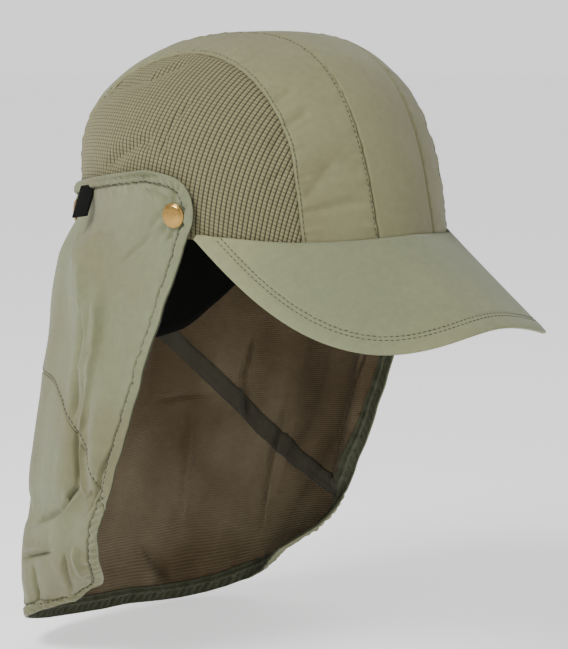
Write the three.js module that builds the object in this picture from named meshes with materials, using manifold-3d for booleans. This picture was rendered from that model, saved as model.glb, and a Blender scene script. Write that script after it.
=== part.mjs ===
// Sun cap with a stiff peak and a long neck flap snapped round the back and sides of the crown.
// Millimetres, +Z up. The peak points to -Y and the wearer's left is +X.
// The origin is the middle of the head opening at the level of the temples, where a head carries the cap.
import * as THREE from "three";
import { mergeVertices } from "three/addons/utils/BufferGeometryUtils.js";
import Module from "manifold-3d";

const wasm = await Module();
wasm.setup();

const RIGHT = -1;
const LEFT = 1;
const DEGREE = Math.PI / 180;

// Cloth and clearances
const WOVEN_THICKNESS = 1.4;
const MESH_THICKNESS = 1.6;
const BAND_THICKNESS = 1.2;
const FLAP_THICKNESS = 1.2;
const TAPE_THICKNESS = 1.0;
const PEAK_THICKNESS = 2.0;
const GAP = 0.3;
const BAND_GAP = 1.2;
// Added to half a gap where two cloths' flat cells bow towards each other
const PANEL_SLACK = 0.08;
const SEAM_SLACK = 0.2;

// Crown: a dome whose plan is a superellipse, leaning back as it rises
const CROWN = {
  halfWidth: 87.4,
  frontReach: 89.8,
  backReach: 106.5,
  height: 102.1,
  planPower: 1.825,
  domePower: 2.679,
  lean: 0.372,
  leanFall: -0.311,
  bulge: 0.084,
  backWallTop: 33,
  backWallLead: 0.2,
};

// Height of the crown's lower edge at each plan angle from the front
const RIM = [
  { angle: 0, height: 2.6 },
  { angle: 40, height: 0.4 },
  { angle: 78, height: 3.6 },
  { angle: 105, height: -6 },
  { angle: 130, height: -22 },
  { angle: 141, height: -33 },
  { angle: 151, height: -48 },
  { angle: 163, height: -63 },
  { angle: 180, height: -69 },
];

// Half-angle of the two front-to-back seams at each angle over the head
// The angle runs from 0 at the front rim to 180 at the back
const SEAMS = [
  { over: -10, inner: 14.0, outer: 40.0 },
  { over: 0, inner: 13.6, outer: 39.3 },
  { over: 20, inner: 12.3, outer: 35.5 },
  { over: 40, inner: 11.4, outer: 31.2 },
  { over: 60, inner: 10.8, outer: 30.2 },
  { over: 90, inner: 10.7, outer: 30.0 },
  { over: 120, inner: 11.6, outer: 31.2 },
  { over: 150, inner: 12.8, outer: 31.0 },
  { over: 180, inner: 13.8, outer: 30.5 },
  { over: 215, inner: 14.4, outer: 30.0 },
];
const SEAM_SHOULDERS = { front: 48, back: 132 };

// Upper edge of the sweatband at each plan angle
const BAND_TOP = [
  { angle: 0, height: 36 },
  { angle: 78, height: 34 },
  { angle: 110, height: 22 },
  { angle: 140, height: 4 },
  { angle: 180, height: -10 },
];

// Peak
const PEAK = {
  halfWidth: 87.5,
  length: 121.2,
  rootBack: 24.5,
  outlinePower: 0.752,
  slope: 0.744,
  archRadius: 77.8,
  rootHeight: 2.8,
  endAngle: 73,
  endWidth: 3.2,
  overlap: 0.6,
  overlapEnd: 90,
  overlapFade: 12,
  rootGap: 1.25,
};

// Rows of values as objects with named columns
const table = (columns, ...rows) =>
  rows.map((row) => Object.fromEntries(columns.split(" ").map((name, i) => [name, row[i]])));

// Neck flap sections from the top edge to the hem
// front and back are heights, and hug is how closely the section follows the crown
const FLAP = table(
  "front back frontX frontY wide wideY backY hug ease dip",
  [34.5, 12, 94, 1, 95, 20, 117, 1, 0.7, 0],
  [32, 9, 92, -13, 95, 20, 117, 1, 0.7, 0],
  [28, 5, 90.5, -19.5, 95, 20, 117, 1, 0.75, 0],
  [21, -1, 89.5, -23.5, 94.5, 22, 118, 0.95, 0.8, 0],
  [11, -9, 89, -24.6, 94, 24, 118.5, 0.6, 0.9, 0],
  [-5, -22, 90, -20, 93, 26, 119, 0.2, 1, 0],
  [-37, -50, 94.5, -9, 93.2, 30, 120, 0, 1, 0],
  [-70, -84, 98, 2, 98, 34, 121, 0, 1.1, 0],
  [-100, -115, 98, 13.3, 99, 40, 126, 0, 1.2, 0],
  [-132, -148, 97.4, 26.8, 98, 50, 134, 0, 1.4, 0.5],
  [-150, -167, 96.4, 35, 97.5, 58, 137.5, 0, 1.6, 1],
  [-163, -182, 90.5, 41.5, 96, 68, 138.5, 0, 1.9, 2],
  [-173, -196, 82, 48.5, 93, 78, 138, 0, 2.2, 3],
  [-181.5, -209.5, 71.5, 58.5, 88, 88, 136, 0, 2.5, 4],
  [-191.5, -223, 62.4, 72.6, 84, 98, 133, 0, 2.8, 5],
);
const FLAP_CORNER_POWER = 2.5;
const FLAP_STANDOFF = 2.5;
const RIGHT_EASE = 1.2;
const BACK_EASE = 0.07;

// The flap's slanting seam: the share of the way down at each share of the way round from the back
const FLAP_SEAM = [
  { around: 0, right: 0.289, left: 0.289 },
  { around: 0.2, right: 0.371, left: 0.418 },
  { around: 0.4, right: 0.43, left: 0.557 },
  { around: 0.6, right: 0.467, left: 0.689 },
  { around: 0.8, right: 0.594, left: 0.784 },
  { around: 1, right: 0.761, left: 0.85 },
];
const HEM_WIDTH = 9;
const HEM_START_ROW = 5;
const CORNER_ROUNDING = 5;
const CORNER_START = 0.9;
const TAPE_WIDTH = 9.5;
const BACKING_GAP = 0.8;

// Folds of the flap: a line from one place to another, with its half-width and its height outwards
const FOLDS = [
  { side: RIGHT, around: 0.62, down: 0.174, toAround: 0.9, toDown: 0.628, width: 13, rise: 4.5 },
  { side: RIGHT, around: 0.8, down: 0.5, toAround: 0.87, toDown: 0.739, width: 10.5, rise: -5 },
  { side: RIGHT, around: 0.5, down: 0.771, toAround: 0.78, toDown: 0.75, width: 7, rise: -3 },
  { side: RIGHT, around: 0.42, down: 0.114, toAround: 0.5, toDown: 0.666, width: 14, rise: 1.5 },
  { side: LEFT, around: 0.87, down: 0.446, toAround: 0.95, toDown: 0.808, width: 9, rise: -4.5 },
  { side: LEFT, around: 0.6, down: 0.289, toAround: 0.66, toDown: 0.666, width: 14, rise: 3.5 },
  { side: LEFT, around: 0.93, down: 0.88, toAround: 1, toDown: 0.97, width: 18, rise: 3.5 },
  { side: LEFT, around: 0.3, down: 0.792, toAround: 0.4, toDown: 0.931, width: 14, rise: 3 },
];
// Mean lengths of the flap, half way round and from top to hem, by which a fold's half-width is measured
const FLAP_LENGTHS = { round: 235, down: 232 };

// Snaps: a domed cap outside the flap, on a post that passes through the flap and the crown
const SNAP = { seat: 0.7, capRadius: 6.15, capHeight: 2.3, skirt: 0.8, postRadius: 1.9, holeRadius: 2.3 };
const SNAPS = [
  { name: "front", around: 0.938, down: 0.091 },
  { name: "back", around: 0.345, down: 0.052 },
];

// Folded ribbon tab hanging from the flap's top hem
const TAB = { around: 0.575, down: 0.014, width: 8.5, length: 17, slant: 0.06, thickness: 1.2, flare: 2.2 };

// Cells of the cloth sheets, round shapes' segments and the steps of lines and searches
const STRIP_ROWS = 3;
const BAND_GRID = { columns: 40, rows: 2 };
const PEAK_GRID = { columns: 34, rows: 6 };
const TAB_GRID = { columns: 3, rows: 6 };
const SEGMENTS = { cap: 20, hole: 12, dome: 4 };
const PEAK_LINE_STEPS = { root: 120, edge: 240 };
const SOLVE_STEPS = 40;

// Where a snap's post looks for the crown: plan angles and heights, a degree and a millimetre apart
const POST_SEARCH = { fromAngle: 60, toAngle: 179, fromHeight: -10, toHeight: 34 };
const POST_HOLE_LENGTH = 30;

// Material colours
const material = (color, roughness, metalness) =>
  new THREE.MeshStandardMaterial({ color, roughness, metalness });
const WOVEN = material(0x9c9d86, 0.75, 0);
const MESH_CLOTH = material(0x857f62, 0.85, 0);
const FLAP_CLOTH = material(0x979c84, 0.75, 0);
const TAPE_CLOTH = material(0x474b3c, 0.8, 0);
const BLACK_CLOTH = material(0x161614, 0.9, 0);
const BRASS = material(0xb99a5c, 0.35, 1);

const lerp = THREE.MathUtils.lerp;
const clamp = THREE.MathUtils.clamp;
const smooth = (x) => THREE.MathUtils.smoothstep(x, 0, 1);
const vector = (x, y, z) => new THREE.Vector3(x, y, z);

// A smooth curve through a table's rows that never overshoots them
function curveThrough(rows, xName, yName) {
  const x = rows.map((row) => row[xName]);
  const y = rows.map((row) => row[yName]);
  const slopes = x.slice(1).map((value, i) => (y[i + 1] - y[i]) / (value - x[i]));
  const tangents = x.map((_, i) => {
    if (i === 0) return slopes[0];
    if (i === x.length - 1) return slopes[i - 1];
    const before = slopes[i - 1];
    const after = slopes[i];
    return before * after <= 0 ? 0 : (2 * before * after) / (before + after);
  });
  return (value) => {
    const at = clamp(value, x[0], x[x.length - 1]);
    let i = 0;
    while (i < x.length - 2 && at > x[i + 1]) i++;
    const step = x[i + 1] - x[i];
    const t = (at - x[i]) / step;
    const rest = 1 - t;
    return (
      y[i] * (1 + 2 * t) * rest * rest +
      y[i + 1] * (3 - 2 * t) * t * t +
      tangents[i] * step * t * rest * rest -
      tangents[i + 1] * step * t * t * rest
    );
  };
}

const rimHeight = curveThrough(RIM, "angle", "height");
const bandTop = curveThrough(BAND_TOP, "angle", "height");
const innerSeam = curveThrough(SEAMS, "over", "inner");
const outerSeam = curveThrough(SEAMS, "over", "outer");

// The value between low and high at which a rising or falling function is zero
function solve(fn, low, high) {
  const rising = fn(high) > fn(low);
  for (let step = 0; step < SOLVE_STEPS; step++) {
    const middle = (low + high) / 2;
    if (fn(middle) > 0 === rising) high = middle;
    else low = middle;
  }
  return (low + high) / 2;
}

// Crown surface

const leanAt = (z) => CROWN.lean * z + (CROWN.leanFall * z * z) / CROWN.height;

// Bulges the dome at half height and leans it back; the back wall stays upright below backWallTop
function dress(x, y, z, reach) {
  const share = clamp(z / CROWN.height, 0, 1);
  const swell = 4 * share * (1 - share) * CROWN.bulge;
  const rearward = smooth(y / reach + CROWN.backWallLead);
  const rearZ = Math.max(z, CROWN.backWallTop);
  return vector(x * (1 + swell), y * (1 + swell / 2) + lerp(leanAt(z), leanAt(rearZ), rearward), z);
}

const planSize = (dx, dy, reach) =>
  (Math.abs(dx / CROWN.halfWidth) ** CROWN.planPower + Math.abs(dy / reach) ** CROWN.planPower) **
  (1 / CROWN.planPower);

// Point of the crown's outer surface in a direction from the origin
function crownAlong(direction) {
  const { x, y, z } = direction;
  const reach = y < 0 ? CROWN.frontReach : CROWN.backReach;
  const rise = z > 0 ? (z / CROWN.height) ** CROWN.domePower : 0;
  const radius = (planSize(x, y, reach) ** CROWN.domePower + rise) ** (-1 / CROWN.domePower);
  return dress(x * radius, y * radius, z * radius, reach);
}

// Point of the crown's outer surface at a plan angle in degrees, + to the wearer's left, and a height
function crownAt(angle, z) {
  const dx = Math.sin(angle * DEGREE);
  const dy = -Math.cos(angle * DEGREE);
  const reach = dy < 0 ? CROWN.frontReach : CROWN.backReach;
  const level = z > 0 ? (1 - clamp(z / CROWN.height, 0, 1) ** CROWN.domePower) ** (1 / CROWN.domePower) : 1;
  const radius = level / planSize(dx, dy, reach);
  return dress(dx * radius, dy * radius, z, reach);
}

// Direction over the head by an angle, leaning to the side by another, both in degrees
function overDirection(over, aside) {
  const a = over * DEGREE;
  const b = aside * DEGREE;
  return vector(Math.sin(b), -Math.cos(b) * Math.cos(a), Math.cos(b) * Math.sin(a));
}

// A place for a sheet's node on the crown in a direction, with the crown's own normal there
function crownPlace(direction) {
  const step = 1e-3;
  const aside = vector(direction.y, -direction.x, 0).normalize();
  const over = direction.clone().cross(aside).normalize();
  const across = (way) => {
    const ahead = crownAlong(direction.clone().addScaledVector(way, step));
    return ahead.sub(crownAlong(direction.clone().addScaledVector(way, -step)));
  };
  return { point: crownAlong(direction), normal: across(aside).cross(across(over)).normalize() };
}

const planAngle = (direction) => Math.abs(Math.atan2(direction.x, -direction.y)) / DEGREE;

// Angle over the head at which a line of the crown meets the rim, given the line's sideways angle
function rimMeets(asideAt, low, high) {
  return solve((over) => {
    const direction = overDirection(over, asideAt(over));
    return crownAlong(direction).z - (rimHeight(planAngle(direction)) - (over < 90 ? PEAK.overlap : 0));
  }, low, high);
}
const FRONT_SEARCH = [-12, 40];
const BACK_SEARCH = [150, 225];

// Direction to the rim at a plan angle
function rimDirection(angle) {
  const front = smooth((PEAK.overlapEnd - Math.abs(angle)) / PEAK.overlapFade);
  const height = rimHeight(Math.abs(angle)) - PEAK.overlap * front;
  const dx = Math.sin(angle * DEGREE);
  const dy = -Math.cos(angle * DEGREE);
  const radius = 1 / planSize(dx, dy, dy < 0 ? CROWN.frontReach : CROWN.backReach);
  return vector(dx * radius, dy * radius, height).normalize();
}

// Meshes

// Normal of a surface given by two shares: across its first share, then its second, turned over when asked
function normalOf(surface, u, v, turnedOver = false) {
  const step = 1e-3;
  const along = surface(u + step, v).sub(surface(u - step, v));
  const down = surface(u, v + step).sub(surface(u, v - step));
  const normal = along.cross(down).normalize();
  return turnedOver ? normal.negate() : normal;
}

// A place for a sheet's node on a surface given by two shares
const placeOn = (surface, turnedOver) => (u, v) => ({
  point: surface(u, v),
  normal: normalOf(surface, u, v, turnedOver),
});

// A cloth sheet on a grid of cells, without the cells that keep refuses
// place gives each node's point and outward normal. The outer face lies a depth behind the points, and the
// inner face a thickness further in. A ring closes on itself along the columns.
// The second half's cells are split the other way, as a mirror would.
function sheet(place, { columns, rows, thickness, depth = 0, keep = () => true, ring = false }) {
  const points = [];
  const nodes = new Map();
  const nodeAt = (i, j) => {
    const key = `${ring ? i % columns : i},${j}`;
    if (!nodes.has(key)) {
      const { point, normal } = place(i / columns, j / rows, i, j);
      nodes.set(key, points.length);
      points.push(point.clone().addScaledVector(normal, -depth));
      points.push(point.clone().addScaledVector(normal, -depth - thickness));
    }
    return nodes.get(key);
  };
  const faces = [];
  const quad = (a, b, c, d) => faces.push(a, b, c, a, c, d);
  const rims = new Map();
  for (let i = 0; i < columns; i++)
    for (let j = 0; j < rows; j++) {
      if (!keep(i, j)) continue;
      const corners = [nodeAt(i, j), nodeAt(i + 1, j), nodeAt(i + 1, j + 1), nodeAt(i, j + 1)];
      if (i >= columns / 2) corners.push(corners.shift());
      const [a, b, c, d] = corners;
      quad(a, b, c, d);
      quad(a + 1, d + 1, c + 1, b + 1);
      corners.forEach((from, k) => {
        const to = corners[(k + 1) % corners.length];
        if (!rims.delete(`${to},${from}`)) rims.set(`${from},${to}`, [from, to]);
      });
    }
  for (const [from, to] of rims.values()) quad(to, from, from + 1, to + 1);
  const geometry = new THREE.BufferGeometry().setFromPoints(points);
  geometry.setIndex(faces);
  return facingOut(geometry);
}

// The geometry with its faces turned outwards
function facingOut(geometry) {
  const position = geometry.attributes.position;
  const index = geometry.index.array;
  const [a, b, c] = [vector(), vector(), vector()];
  let volume = 0;
  for (let i = 0; i < index.length; i += 3) {
    a.fromBufferAttribute(position, index[i]);
    b.fromBufferAttribute(position, index[i + 1]);
    c.fromBufferAttribute(position, index[i + 2]);
    volume += a.dot(b.cross(c));
  }
  if (volume < 0)
    for (let i = 0; i < index.length; i += 3) [index[i + 1], index[i + 2]] = [index[i + 2], index[i + 1]];
  return geometry;
}

function solidOf(geometry) {
  const bare = new THREE.BufferGeometry().setAttribute("position", geometry.attributes.position.clone());
  bare.setIndex(geometry.index);
  const merged = mergeVertices(bare, 1e-4);
  return new wasm.Manifold(
    new wasm.Mesh({
      numProp: 3,
      vertProperties: new Float32Array(merged.attributes.position.array),
      triVerts: new Uint32Array(merged.index.array),
    }),
  );
}

function geometryOf(solid) {
  const mesh = solid.getMesh();
  const geometry = new THREE.BufferGeometry();
  geometry.setAttribute("position", new THREE.BufferAttribute(mesh.vertProperties, mesh.numProp));
  geometry.setIndex(new THREE.BufferAttribute(mesh.triVerts, 1));
  return geometry;
}

const drilled = (geometry, holes) =>
  geometryOf(holes.reduce((solid, hole) => solid.subtract(solidOf(hole)), solidOf(geometry)));

function named(name, geometry, finish) {
  geometry.computeVertexNormals();
  const mesh = new THREE.Mesh(geometry, finish);
  mesh.name = name;
  return mesh;
}

// Crown panels

// Half of the gap between two panels, as an angle seen from the crown's middle
const HALF_GAP = (GAP / 2 + PANEL_SLACK) / (CROWN.halfWidth * DEGREE);

// Steps along a line over the head, before, between and behind the shoulders
const OVER_STEPS = { front: 9, top: 16, back: 9 };
const OVER_COLUMNS = OVER_STEPS.front + OVER_STEPS.top + OVER_STEPS.back;

// Angle over the head at a share of the steps, on a line that starts and ends at the given angles
function overAt(from, to, share) {
  const column = share * OVER_COLUMNS;
  const pastFront = column - OVER_STEPS.front;
  const pastTop = pastFront - OVER_STEPS.top;
  if (pastFront < 0) return lerp(from, SEAM_SHOULDERS.front, column / OVER_STEPS.front);
  if (pastTop < 0) return lerp(SEAM_SHOULDERS.front, SEAM_SHOULDERS.back, pastFront / OVER_STEPS.top);
  return lerp(SEAM_SHOULDERS.back, to, pastTop / OVER_STEPS.back);
}

// A strip over the head between two sideways angles
function strip(lowAside, highAside) {
  const place = (u, v) => {
    const asideAt = (over) => lerp(lowAside(over), highAside(over), v);
    const from = rimMeets(asideAt, ...FRONT_SEARCH);
    const to = rimMeets(asideAt, ...BACK_SEARCH);
    const over = overAt(from, to, u);
    return crownPlace(overDirection(over, asideAt(over)));
  };
  return sheet(place, { columns: OVER_COLUMNS, rows: STRIP_ROWS, thickness: WOVEN_THICKNESS });
}

function centreStrip() {
  const edge = (over) => innerSeam(over) - HALF_GAP;
  return strip((over) => -edge(over), edge);
}

function sideStrip(side) {
  const inner = (over) => side * (innerSeam(over) + HALF_GAP);
  const outer = (over) => side * (outerSeam(over) - HALF_GAP);
  return strip(inner, outer);
}

// A mesh side panel: four-sided, between the rim and the outer seam's front, top and back
function meshPanel(side) {
  const aside = (over) => side * (outerSeam(over) + HALF_GAP);
  const frontOver = rimMeets(aside, ...FRONT_SEARCH);
  const backOver = rimMeets(aside, ...BACK_SEARCH);
  const along = (over) => overDirection(over, aside(over));
  const frontAngle = planAngle(along(frontOver));
  const backAngle = planAngle(along(backOver));
  const bottom = (u) => rimDirection(side * lerp(frontAngle, backAngle, u));
  const top = (u) => along(lerp(SEAM_SHOULDERS.front, SEAM_SHOULDERS.back, u));
  const front = (v) => along(lerp(frontOver, SEAM_SHOULDERS.front, v));
  const back = (v) => along(lerp(backOver, SEAM_SHOULDERS.back, v));
  const place = (u, v) => {
    const direction = vector(0, 0, 0)
      .addScaledVector(bottom(u), 1 - v)
      .addScaledVector(top(u), v)
      .addScaledVector(front(v), 1 - u)
      .addScaledVector(back(v), u)
      .addScaledVector(bottom(0), -(1 - u) * (1 - v))
      .addScaledVector(bottom(1), -u * (1 - v))
      .addScaledVector(top(0), -(1 - u) * v)
      .addScaledVector(top(1), -u * v);
    return crownPlace(direction.normalize());
  };
  return sheet(place, { columns: OVER_STEPS.top, rows: OVER_STEPS.front, thickness: MESH_THICKNESS });
}

function sweatband() {
  const inset = MESH_THICKNESS + BAND_GAP;
  const lower = PEAK.overlap;
  const wall = (u, v) => {
    const angle = lerp(-180, 180, u);
    const turn = Math.abs(angle) > 180 ? 360 - Math.abs(angle) : Math.abs(angle);
    return crownAt(angle, lerp(rimHeight(turn) - lower, bandTop(turn), v));
  };
  const place = placeOn(wall, false);
  return sheet(place, { ...BAND_GRID, thickness: BAND_THICKNESS, depth: inset, ring: true });
}

// Peak

// A point at a share of the way along a line of points, by length
function alongLine(points, share) {
  const lengths = [0];
  for (let i = 1; i < points.length; i++)
    lengths.push(lengths[i - 1] + points[i].distanceTo(points[i - 1]));
  const target = share * lengths[lengths.length - 1];
  let i = 1;
  while (i < points.length - 1 && lengths[i] < target) i++;
  const part = (target - lengths[i - 1]) / (lengths[i] - lengths[i - 1]);
  return points[i - 1].clone().lerp(points[i], part);
}

const range = (count, fn) => Array.from({ length: count + 1 }, (_, i) => fn(i / count));

const peakHeight = (x, y) =>
  PEAK.rootHeight + PEAK.slope * (y + CROWN.frontReach) - (x * x) / (2 * PEAK.archRadius);

function peakLines() {
  const root = range(PEAK_LINE_STEPS.root, (share) => {
    const angle = lerp(-PEAK.endAngle, PEAK.endAngle, share);
    const point = crownAt(angle, rimHeight(Math.abs(angle)));
    const away = vector(Math.sin(angle * DEGREE), -Math.cos(angle * DEGREE), 0);
    return point.addScaledVector(away, PEAK.rootGap);
  });
  const edge = range(PEAK_LINE_STEPS.edge, (share) => {
    const angle = lerp(-90, 90, share) * DEGREE;
    const s = Math.sin(angle);
    const x = PEAK.halfWidth * Math.sign(s) * Math.abs(s) ** PEAK.outlinePower;
    const y = -PEAK.rootBack - PEAK.length * Math.abs(Math.cos(angle)) ** PEAK.outlinePower;
    return vector(x, y, 0);
  });
  return { root, edge };
}

function peak() {
  const { root, edge } = peakLines();
  const surface = (u, v) => {
    const from = alongLine(root, clamp(u, 0, 1));
    const to = alongLine(edge, clamp(u, 0, 1));
    const short = from.clone().setZ(0).distanceTo(to);
    const outward = from.clone().setZ(0).normalize();
    if (short < PEAK.endWidth) to.copy(from).setZ(0).addScaledVector(outward, PEAK.endWidth);
    const x = lerp(from.x, to.x, v);
    const y = lerp(from.y, to.y, v);
    const settle = from.z - peakHeight(from.x, from.y);
    return vector(x, y, peakHeight(x, y) + settle * (1 - v) ** 2);
  };
  return sheet(placeOn(surface, true), { ...PEAK_GRID, thickness: PEAK_THICKNESS });
}

// Neck flap

const flapColumns = Object.keys(FLAP[0]);
const [TOP, HEMLINE] = [FLAP[0].front, FLAP[FLAP.length - 1].front];
const flapRows = FLAP.map((row) => ({ ...row, share: (TOP - row.front) / (TOP - HEMLINE) }));
const columnsFrom = (fn) => Object.fromEntries(flapColumns.map((name) => [name, fn(name)]));
const flapCurves = columnsFrom((name) => curveThrough(flapRows, "share", name));
const flapSection = (down) => columnsFrom((name) => flapCurves[name](down));

const SECTION_STEPS = { back: 36, side: 14 };

// Plan line of one half of a flap section, from the middle of the back to the front edge
function sectionLine({ frontX, frontY, wide, wideY, backY }) {
  const back = range(SECTION_STEPS.back, (share) => {
    const turn = (share * Math.PI) / 2;
    const x = wide * Math.sin(turn) ** (2 / FLAP_CORNER_POWER);
    const y = wideY + (backY - wideY) * Math.max(Math.cos(turn), 0) ** (2 / FLAP_CORNER_POWER);
    return vector(x, y, 0);
  });
  const side = range(SECTION_STEPS.side, (share) =>
    vector(wide - (wide - frontX) * share * share, lerp(wideY, frontY, share), 0),
  );
  return back.concat(side.slice(1));
}

const sectionLines = new Map();
function cachedLine(down) {
  if (!sectionLines.has(down)) {
    const section = flapSection(down);
    const front = crownAngleAt(section.frontY, section.front);
    sectionLines.set(down, { section, line: sectionLine(section), frontAngle: front });
  }
  return sectionLines.get(down);
}

// Plan angle at which the crown's surface at a height reaches a given Y
function crownAngleAt(y, z) {
  return solve((angle) => crownAt(angle, z).y - y, 0, 179);
}

// Height that the folds add at a place on one side of the flap
function foldRise(side, around, down) {
  let rise = 0;
  for (const fold of FOLDS) {
    if (fold.side !== side) continue;
    const from = new THREE.Vector2(fold.around * FLAP_LENGTHS.round, fold.down * FLAP_LENGTHS.down);
    const to = new THREE.Vector2(fold.toAround * FLAP_LENGTHS.round, fold.toDown * FLAP_LENGTHS.down);
    const at = new THREE.Vector2(around * FLAP_LENGTHS.round, down * FLAP_LENGTHS.down);
    const line = to.clone().sub(from);
    const share = clamp(at.clone().sub(from).dot(line) / line.lengthSq(), 0, 1);
    const distance = at.distanceTo(from.clone().addScaledVector(line, share));
    rise += fold.rise * Math.exp(-((distance / fold.width) ** 2));
  }
  return rise;
}

// Flap's outer face without folds: around runs from 0 at the middle of the back to 1 at the front edge
function flapSmooth(side, around, down) {
  const { section, line, frontAngle } = cachedLine(Number(down.toFixed(6)));
  const ease = side === RIGHT ? Math.min(section.ease, RIGHT_EASE) : section.ease;
  const dip = section.dip * Math.sin(Math.PI * around) ** 2;
  const climb = (Math.hypot(around, BACK_EASE) - BACK_EASE) / (Math.hypot(1, BACK_EASE) - BACK_EASE);
  const z = lerp(section.back, section.front, climb ** ease) - dip;
  const free = alongLine(line, around).setZ(z);
  if (section.hug > 0) {
    const angle = lerp(180, frontAngle, around);
    const hugging = crownAt(angle, z);
    const away = vector(Math.sin(angle * DEGREE), -Math.cos(angle * DEGREE), 0);
    free.lerp(hugging.addScaledVector(away, FLAP_STANDOFF), section.hug);
  }
  free.x *= side;
  return free;
}

// Flap's outer face: turn runs from -1 at the right front edge through 0 at the back to 1 at the left
function flapFace(turn, down) {
  const side = turn < 0 ? RIGHT : LEFT;
  const around = Math.min(Math.abs(turn), 1);
  const plain = (t, d) => flapSmooth(t < 0 ? RIGHT : LEFT, Math.min(Math.abs(t), 1), clamp(d, 0, 1));
  const point = plain(turn, down);
  const rise = foldRise(side, around, down);
  return Math.abs(rise) < 1e-3 ? point : point.addScaledVector(flapNormal(plain, turn, down), rise);
}

// Normal of the flap, taken a little inside its edges so that both sides of a place are on it
function flapNormal(surface, turn, down) {
  const inside = 0.01;
  return normalOf(surface, clamp(turn, inside - 1, 1 - inside), clamp(down, inside, 1 - inside));
}

const rightSeam = curveThrough(FLAP_SEAM, "around", "right");
const leftSeam = curveThrough(FLAP_SEAM, "around", "left");
const seamDown = (turn) => (turn < 0 ? rightSeam(-turn) : leftSeam(turn));

// Shares of the flap's lengths that a distance in millimetres takes
const roundShare = (length) => length / FLAP_LENGTHS.round;
const downShare = (length) => length / FLAP_LENGTHS.down;

// The flap's cloths share one grid. Its rows run in bands along the seam: above the tape, the tape's upper
// half, the seam's gap, the tape's lower half, below the tape, and the hem.
const FLAP_GRID = { columns: 48, aboveTape: 10, belowTape: 5, crowding: 1.9 };
const ROW = {
  tapeTop: FLAP_GRID.aboveTape,
  seamTop: FLAP_GRID.aboveTape + 1,
  seamBottom: FLAP_GRID.aboveTape + 2,
  tapeBottom: FLAP_GRID.aboveTape + 3,
  hemTop: FLAP_GRID.aboveTape + 3 + FLAP_GRID.belowTape,
  bottom: FLAP_GRID.aboveTape + 4 + FLAP_GRID.belowTape,
};
const SEAM_GAP = downShare(GAP / 2 + SEAM_SLACK);

// Half of a band along the seam, as a share down that keeps the band's true width where the seam slants
function seamHalf(turn, width) {
  const step = 0.02;
  const fall = (seamDown(turn + step) - seamDown(turn - step)) * FLAP_LENGTHS.down;
  return downShare(width / 2) * Math.hypot(1, fall / (2 * step * FLAP_LENGTHS.round));
}

// Share of the way down of a row of the grid
function rowDown(turn, row) {
  const seam = seamDown(turn);
  const half = seamHalf(turn, TAPE_WIDTH);
  const hemTop = 1 - downShare(HEM_WIDTH);
  if (row <= ROW.tapeTop) return (seam - half) * (row / ROW.tapeTop) ** FLAP_GRID.crowding;
  if (row === ROW.seamTop) return seam - SEAM_GAP;
  if (row === ROW.seamBottom) return seam + SEAM_GAP;
  const pastStart = (Math.abs(turn) - CORNER_START) / (1 - CORNER_START);
  const rounding = downShare(CORNER_ROUNDING) * smooth(pastStart);
  const below = row === ROW.bottom ? 1 : hemTop;
  const share = Math.min((row - ROW.tapeBottom) / FLAP_GRID.belowTape, 1);
  return lerp(seam + half, below - rounding, share);
}

const flapNodes = new Map();
function flapPlace(u, v, column, row) {
  const key = `${column},${row}`;
  if (!flapNodes.has(key)) {
    const turn = lerp(-1, 1, u);
    const down = rowDown(turn, row);
    flapNodes.set(key, { point: flapFace(turn, down), normal: flapNormal(flapFace, turn, down) });
  }
  return flapNodes.get(key);
}

// A cloth of the flap that covers some cells of the grid
const flapCloth = (keep, thickness, depth) =>
  sheet(flapPlace, { columns: FLAP_GRID.columns, rows: ROW.bottom, thickness, depth, keep });

const flapUpper = () => flapCloth((column, row) => row < ROW.seamTop, FLAP_THICKNESS, 0);
const flapLower = () => flapCloth((column, row) => row >= ROW.seamBottom, FLAP_THICKNESS, 0);

const isEdgeColumn = (column) => column === 0 || column === FLAP_GRID.columns - 1;
const BACKING_DEPTH = FLAP_THICKNESS + BACKING_GAP;

// Tape that covers the slanting seam inside the flap and stops short of the front hems
function seamTape() {
  const reach = 1 - 2 / FLAP_GRID.columns - roundShare(2 * GAP);
  const place = (u, v, column, row) => {
    const turn = clamp(lerp(-1, 1, u), -reach, reach);
    const down = rowDown(turn, row);
    return { point: flapFace(turn, down), normal: flapNormal(flapFace, turn, down) };
  };
  const keep = (column, row) => row >= ROW.tapeTop && row < ROW.tapeBottom && !isEdgeColumn(column);
  const grid = { columns: FLAP_GRID.columns, rows: ROW.bottom };
  return sheet(place, { ...grid, thickness: TAPE_THICKNESS, depth: BACKING_DEPTH, keep });
}

// Hem turned to the inside along the flap's front edges and bottom
const hem = () =>
  flapCloth(
    (column, row) => row >= ROW.hemTop || (row >= HEM_START_ROW && isEdgeColumn(column)),
    TAPE_THICKNESS,
    BACKING_DEPTH,
  );

// Ribbon tab that hangs from under the top hem, standing off more towards its end
function tab() {
  const place = (u, v) => {
    const around = TAB.around - TAB.slant * v + roundShare(TAB.width) * (u - 0.5);
    const down = TAB.down + downShare(TAB.length) * v;
    const normal = flapNormal(flapFace, -around, down);
    const point = flapFace(-around, down).addScaledVector(normal, GAP + TAB.thickness + TAB.flare * v);
    return { point, normal };
  };
  return sheet(place, { ...TAB_GRID, thickness: TAB.thickness });
}

// Snaps

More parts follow.
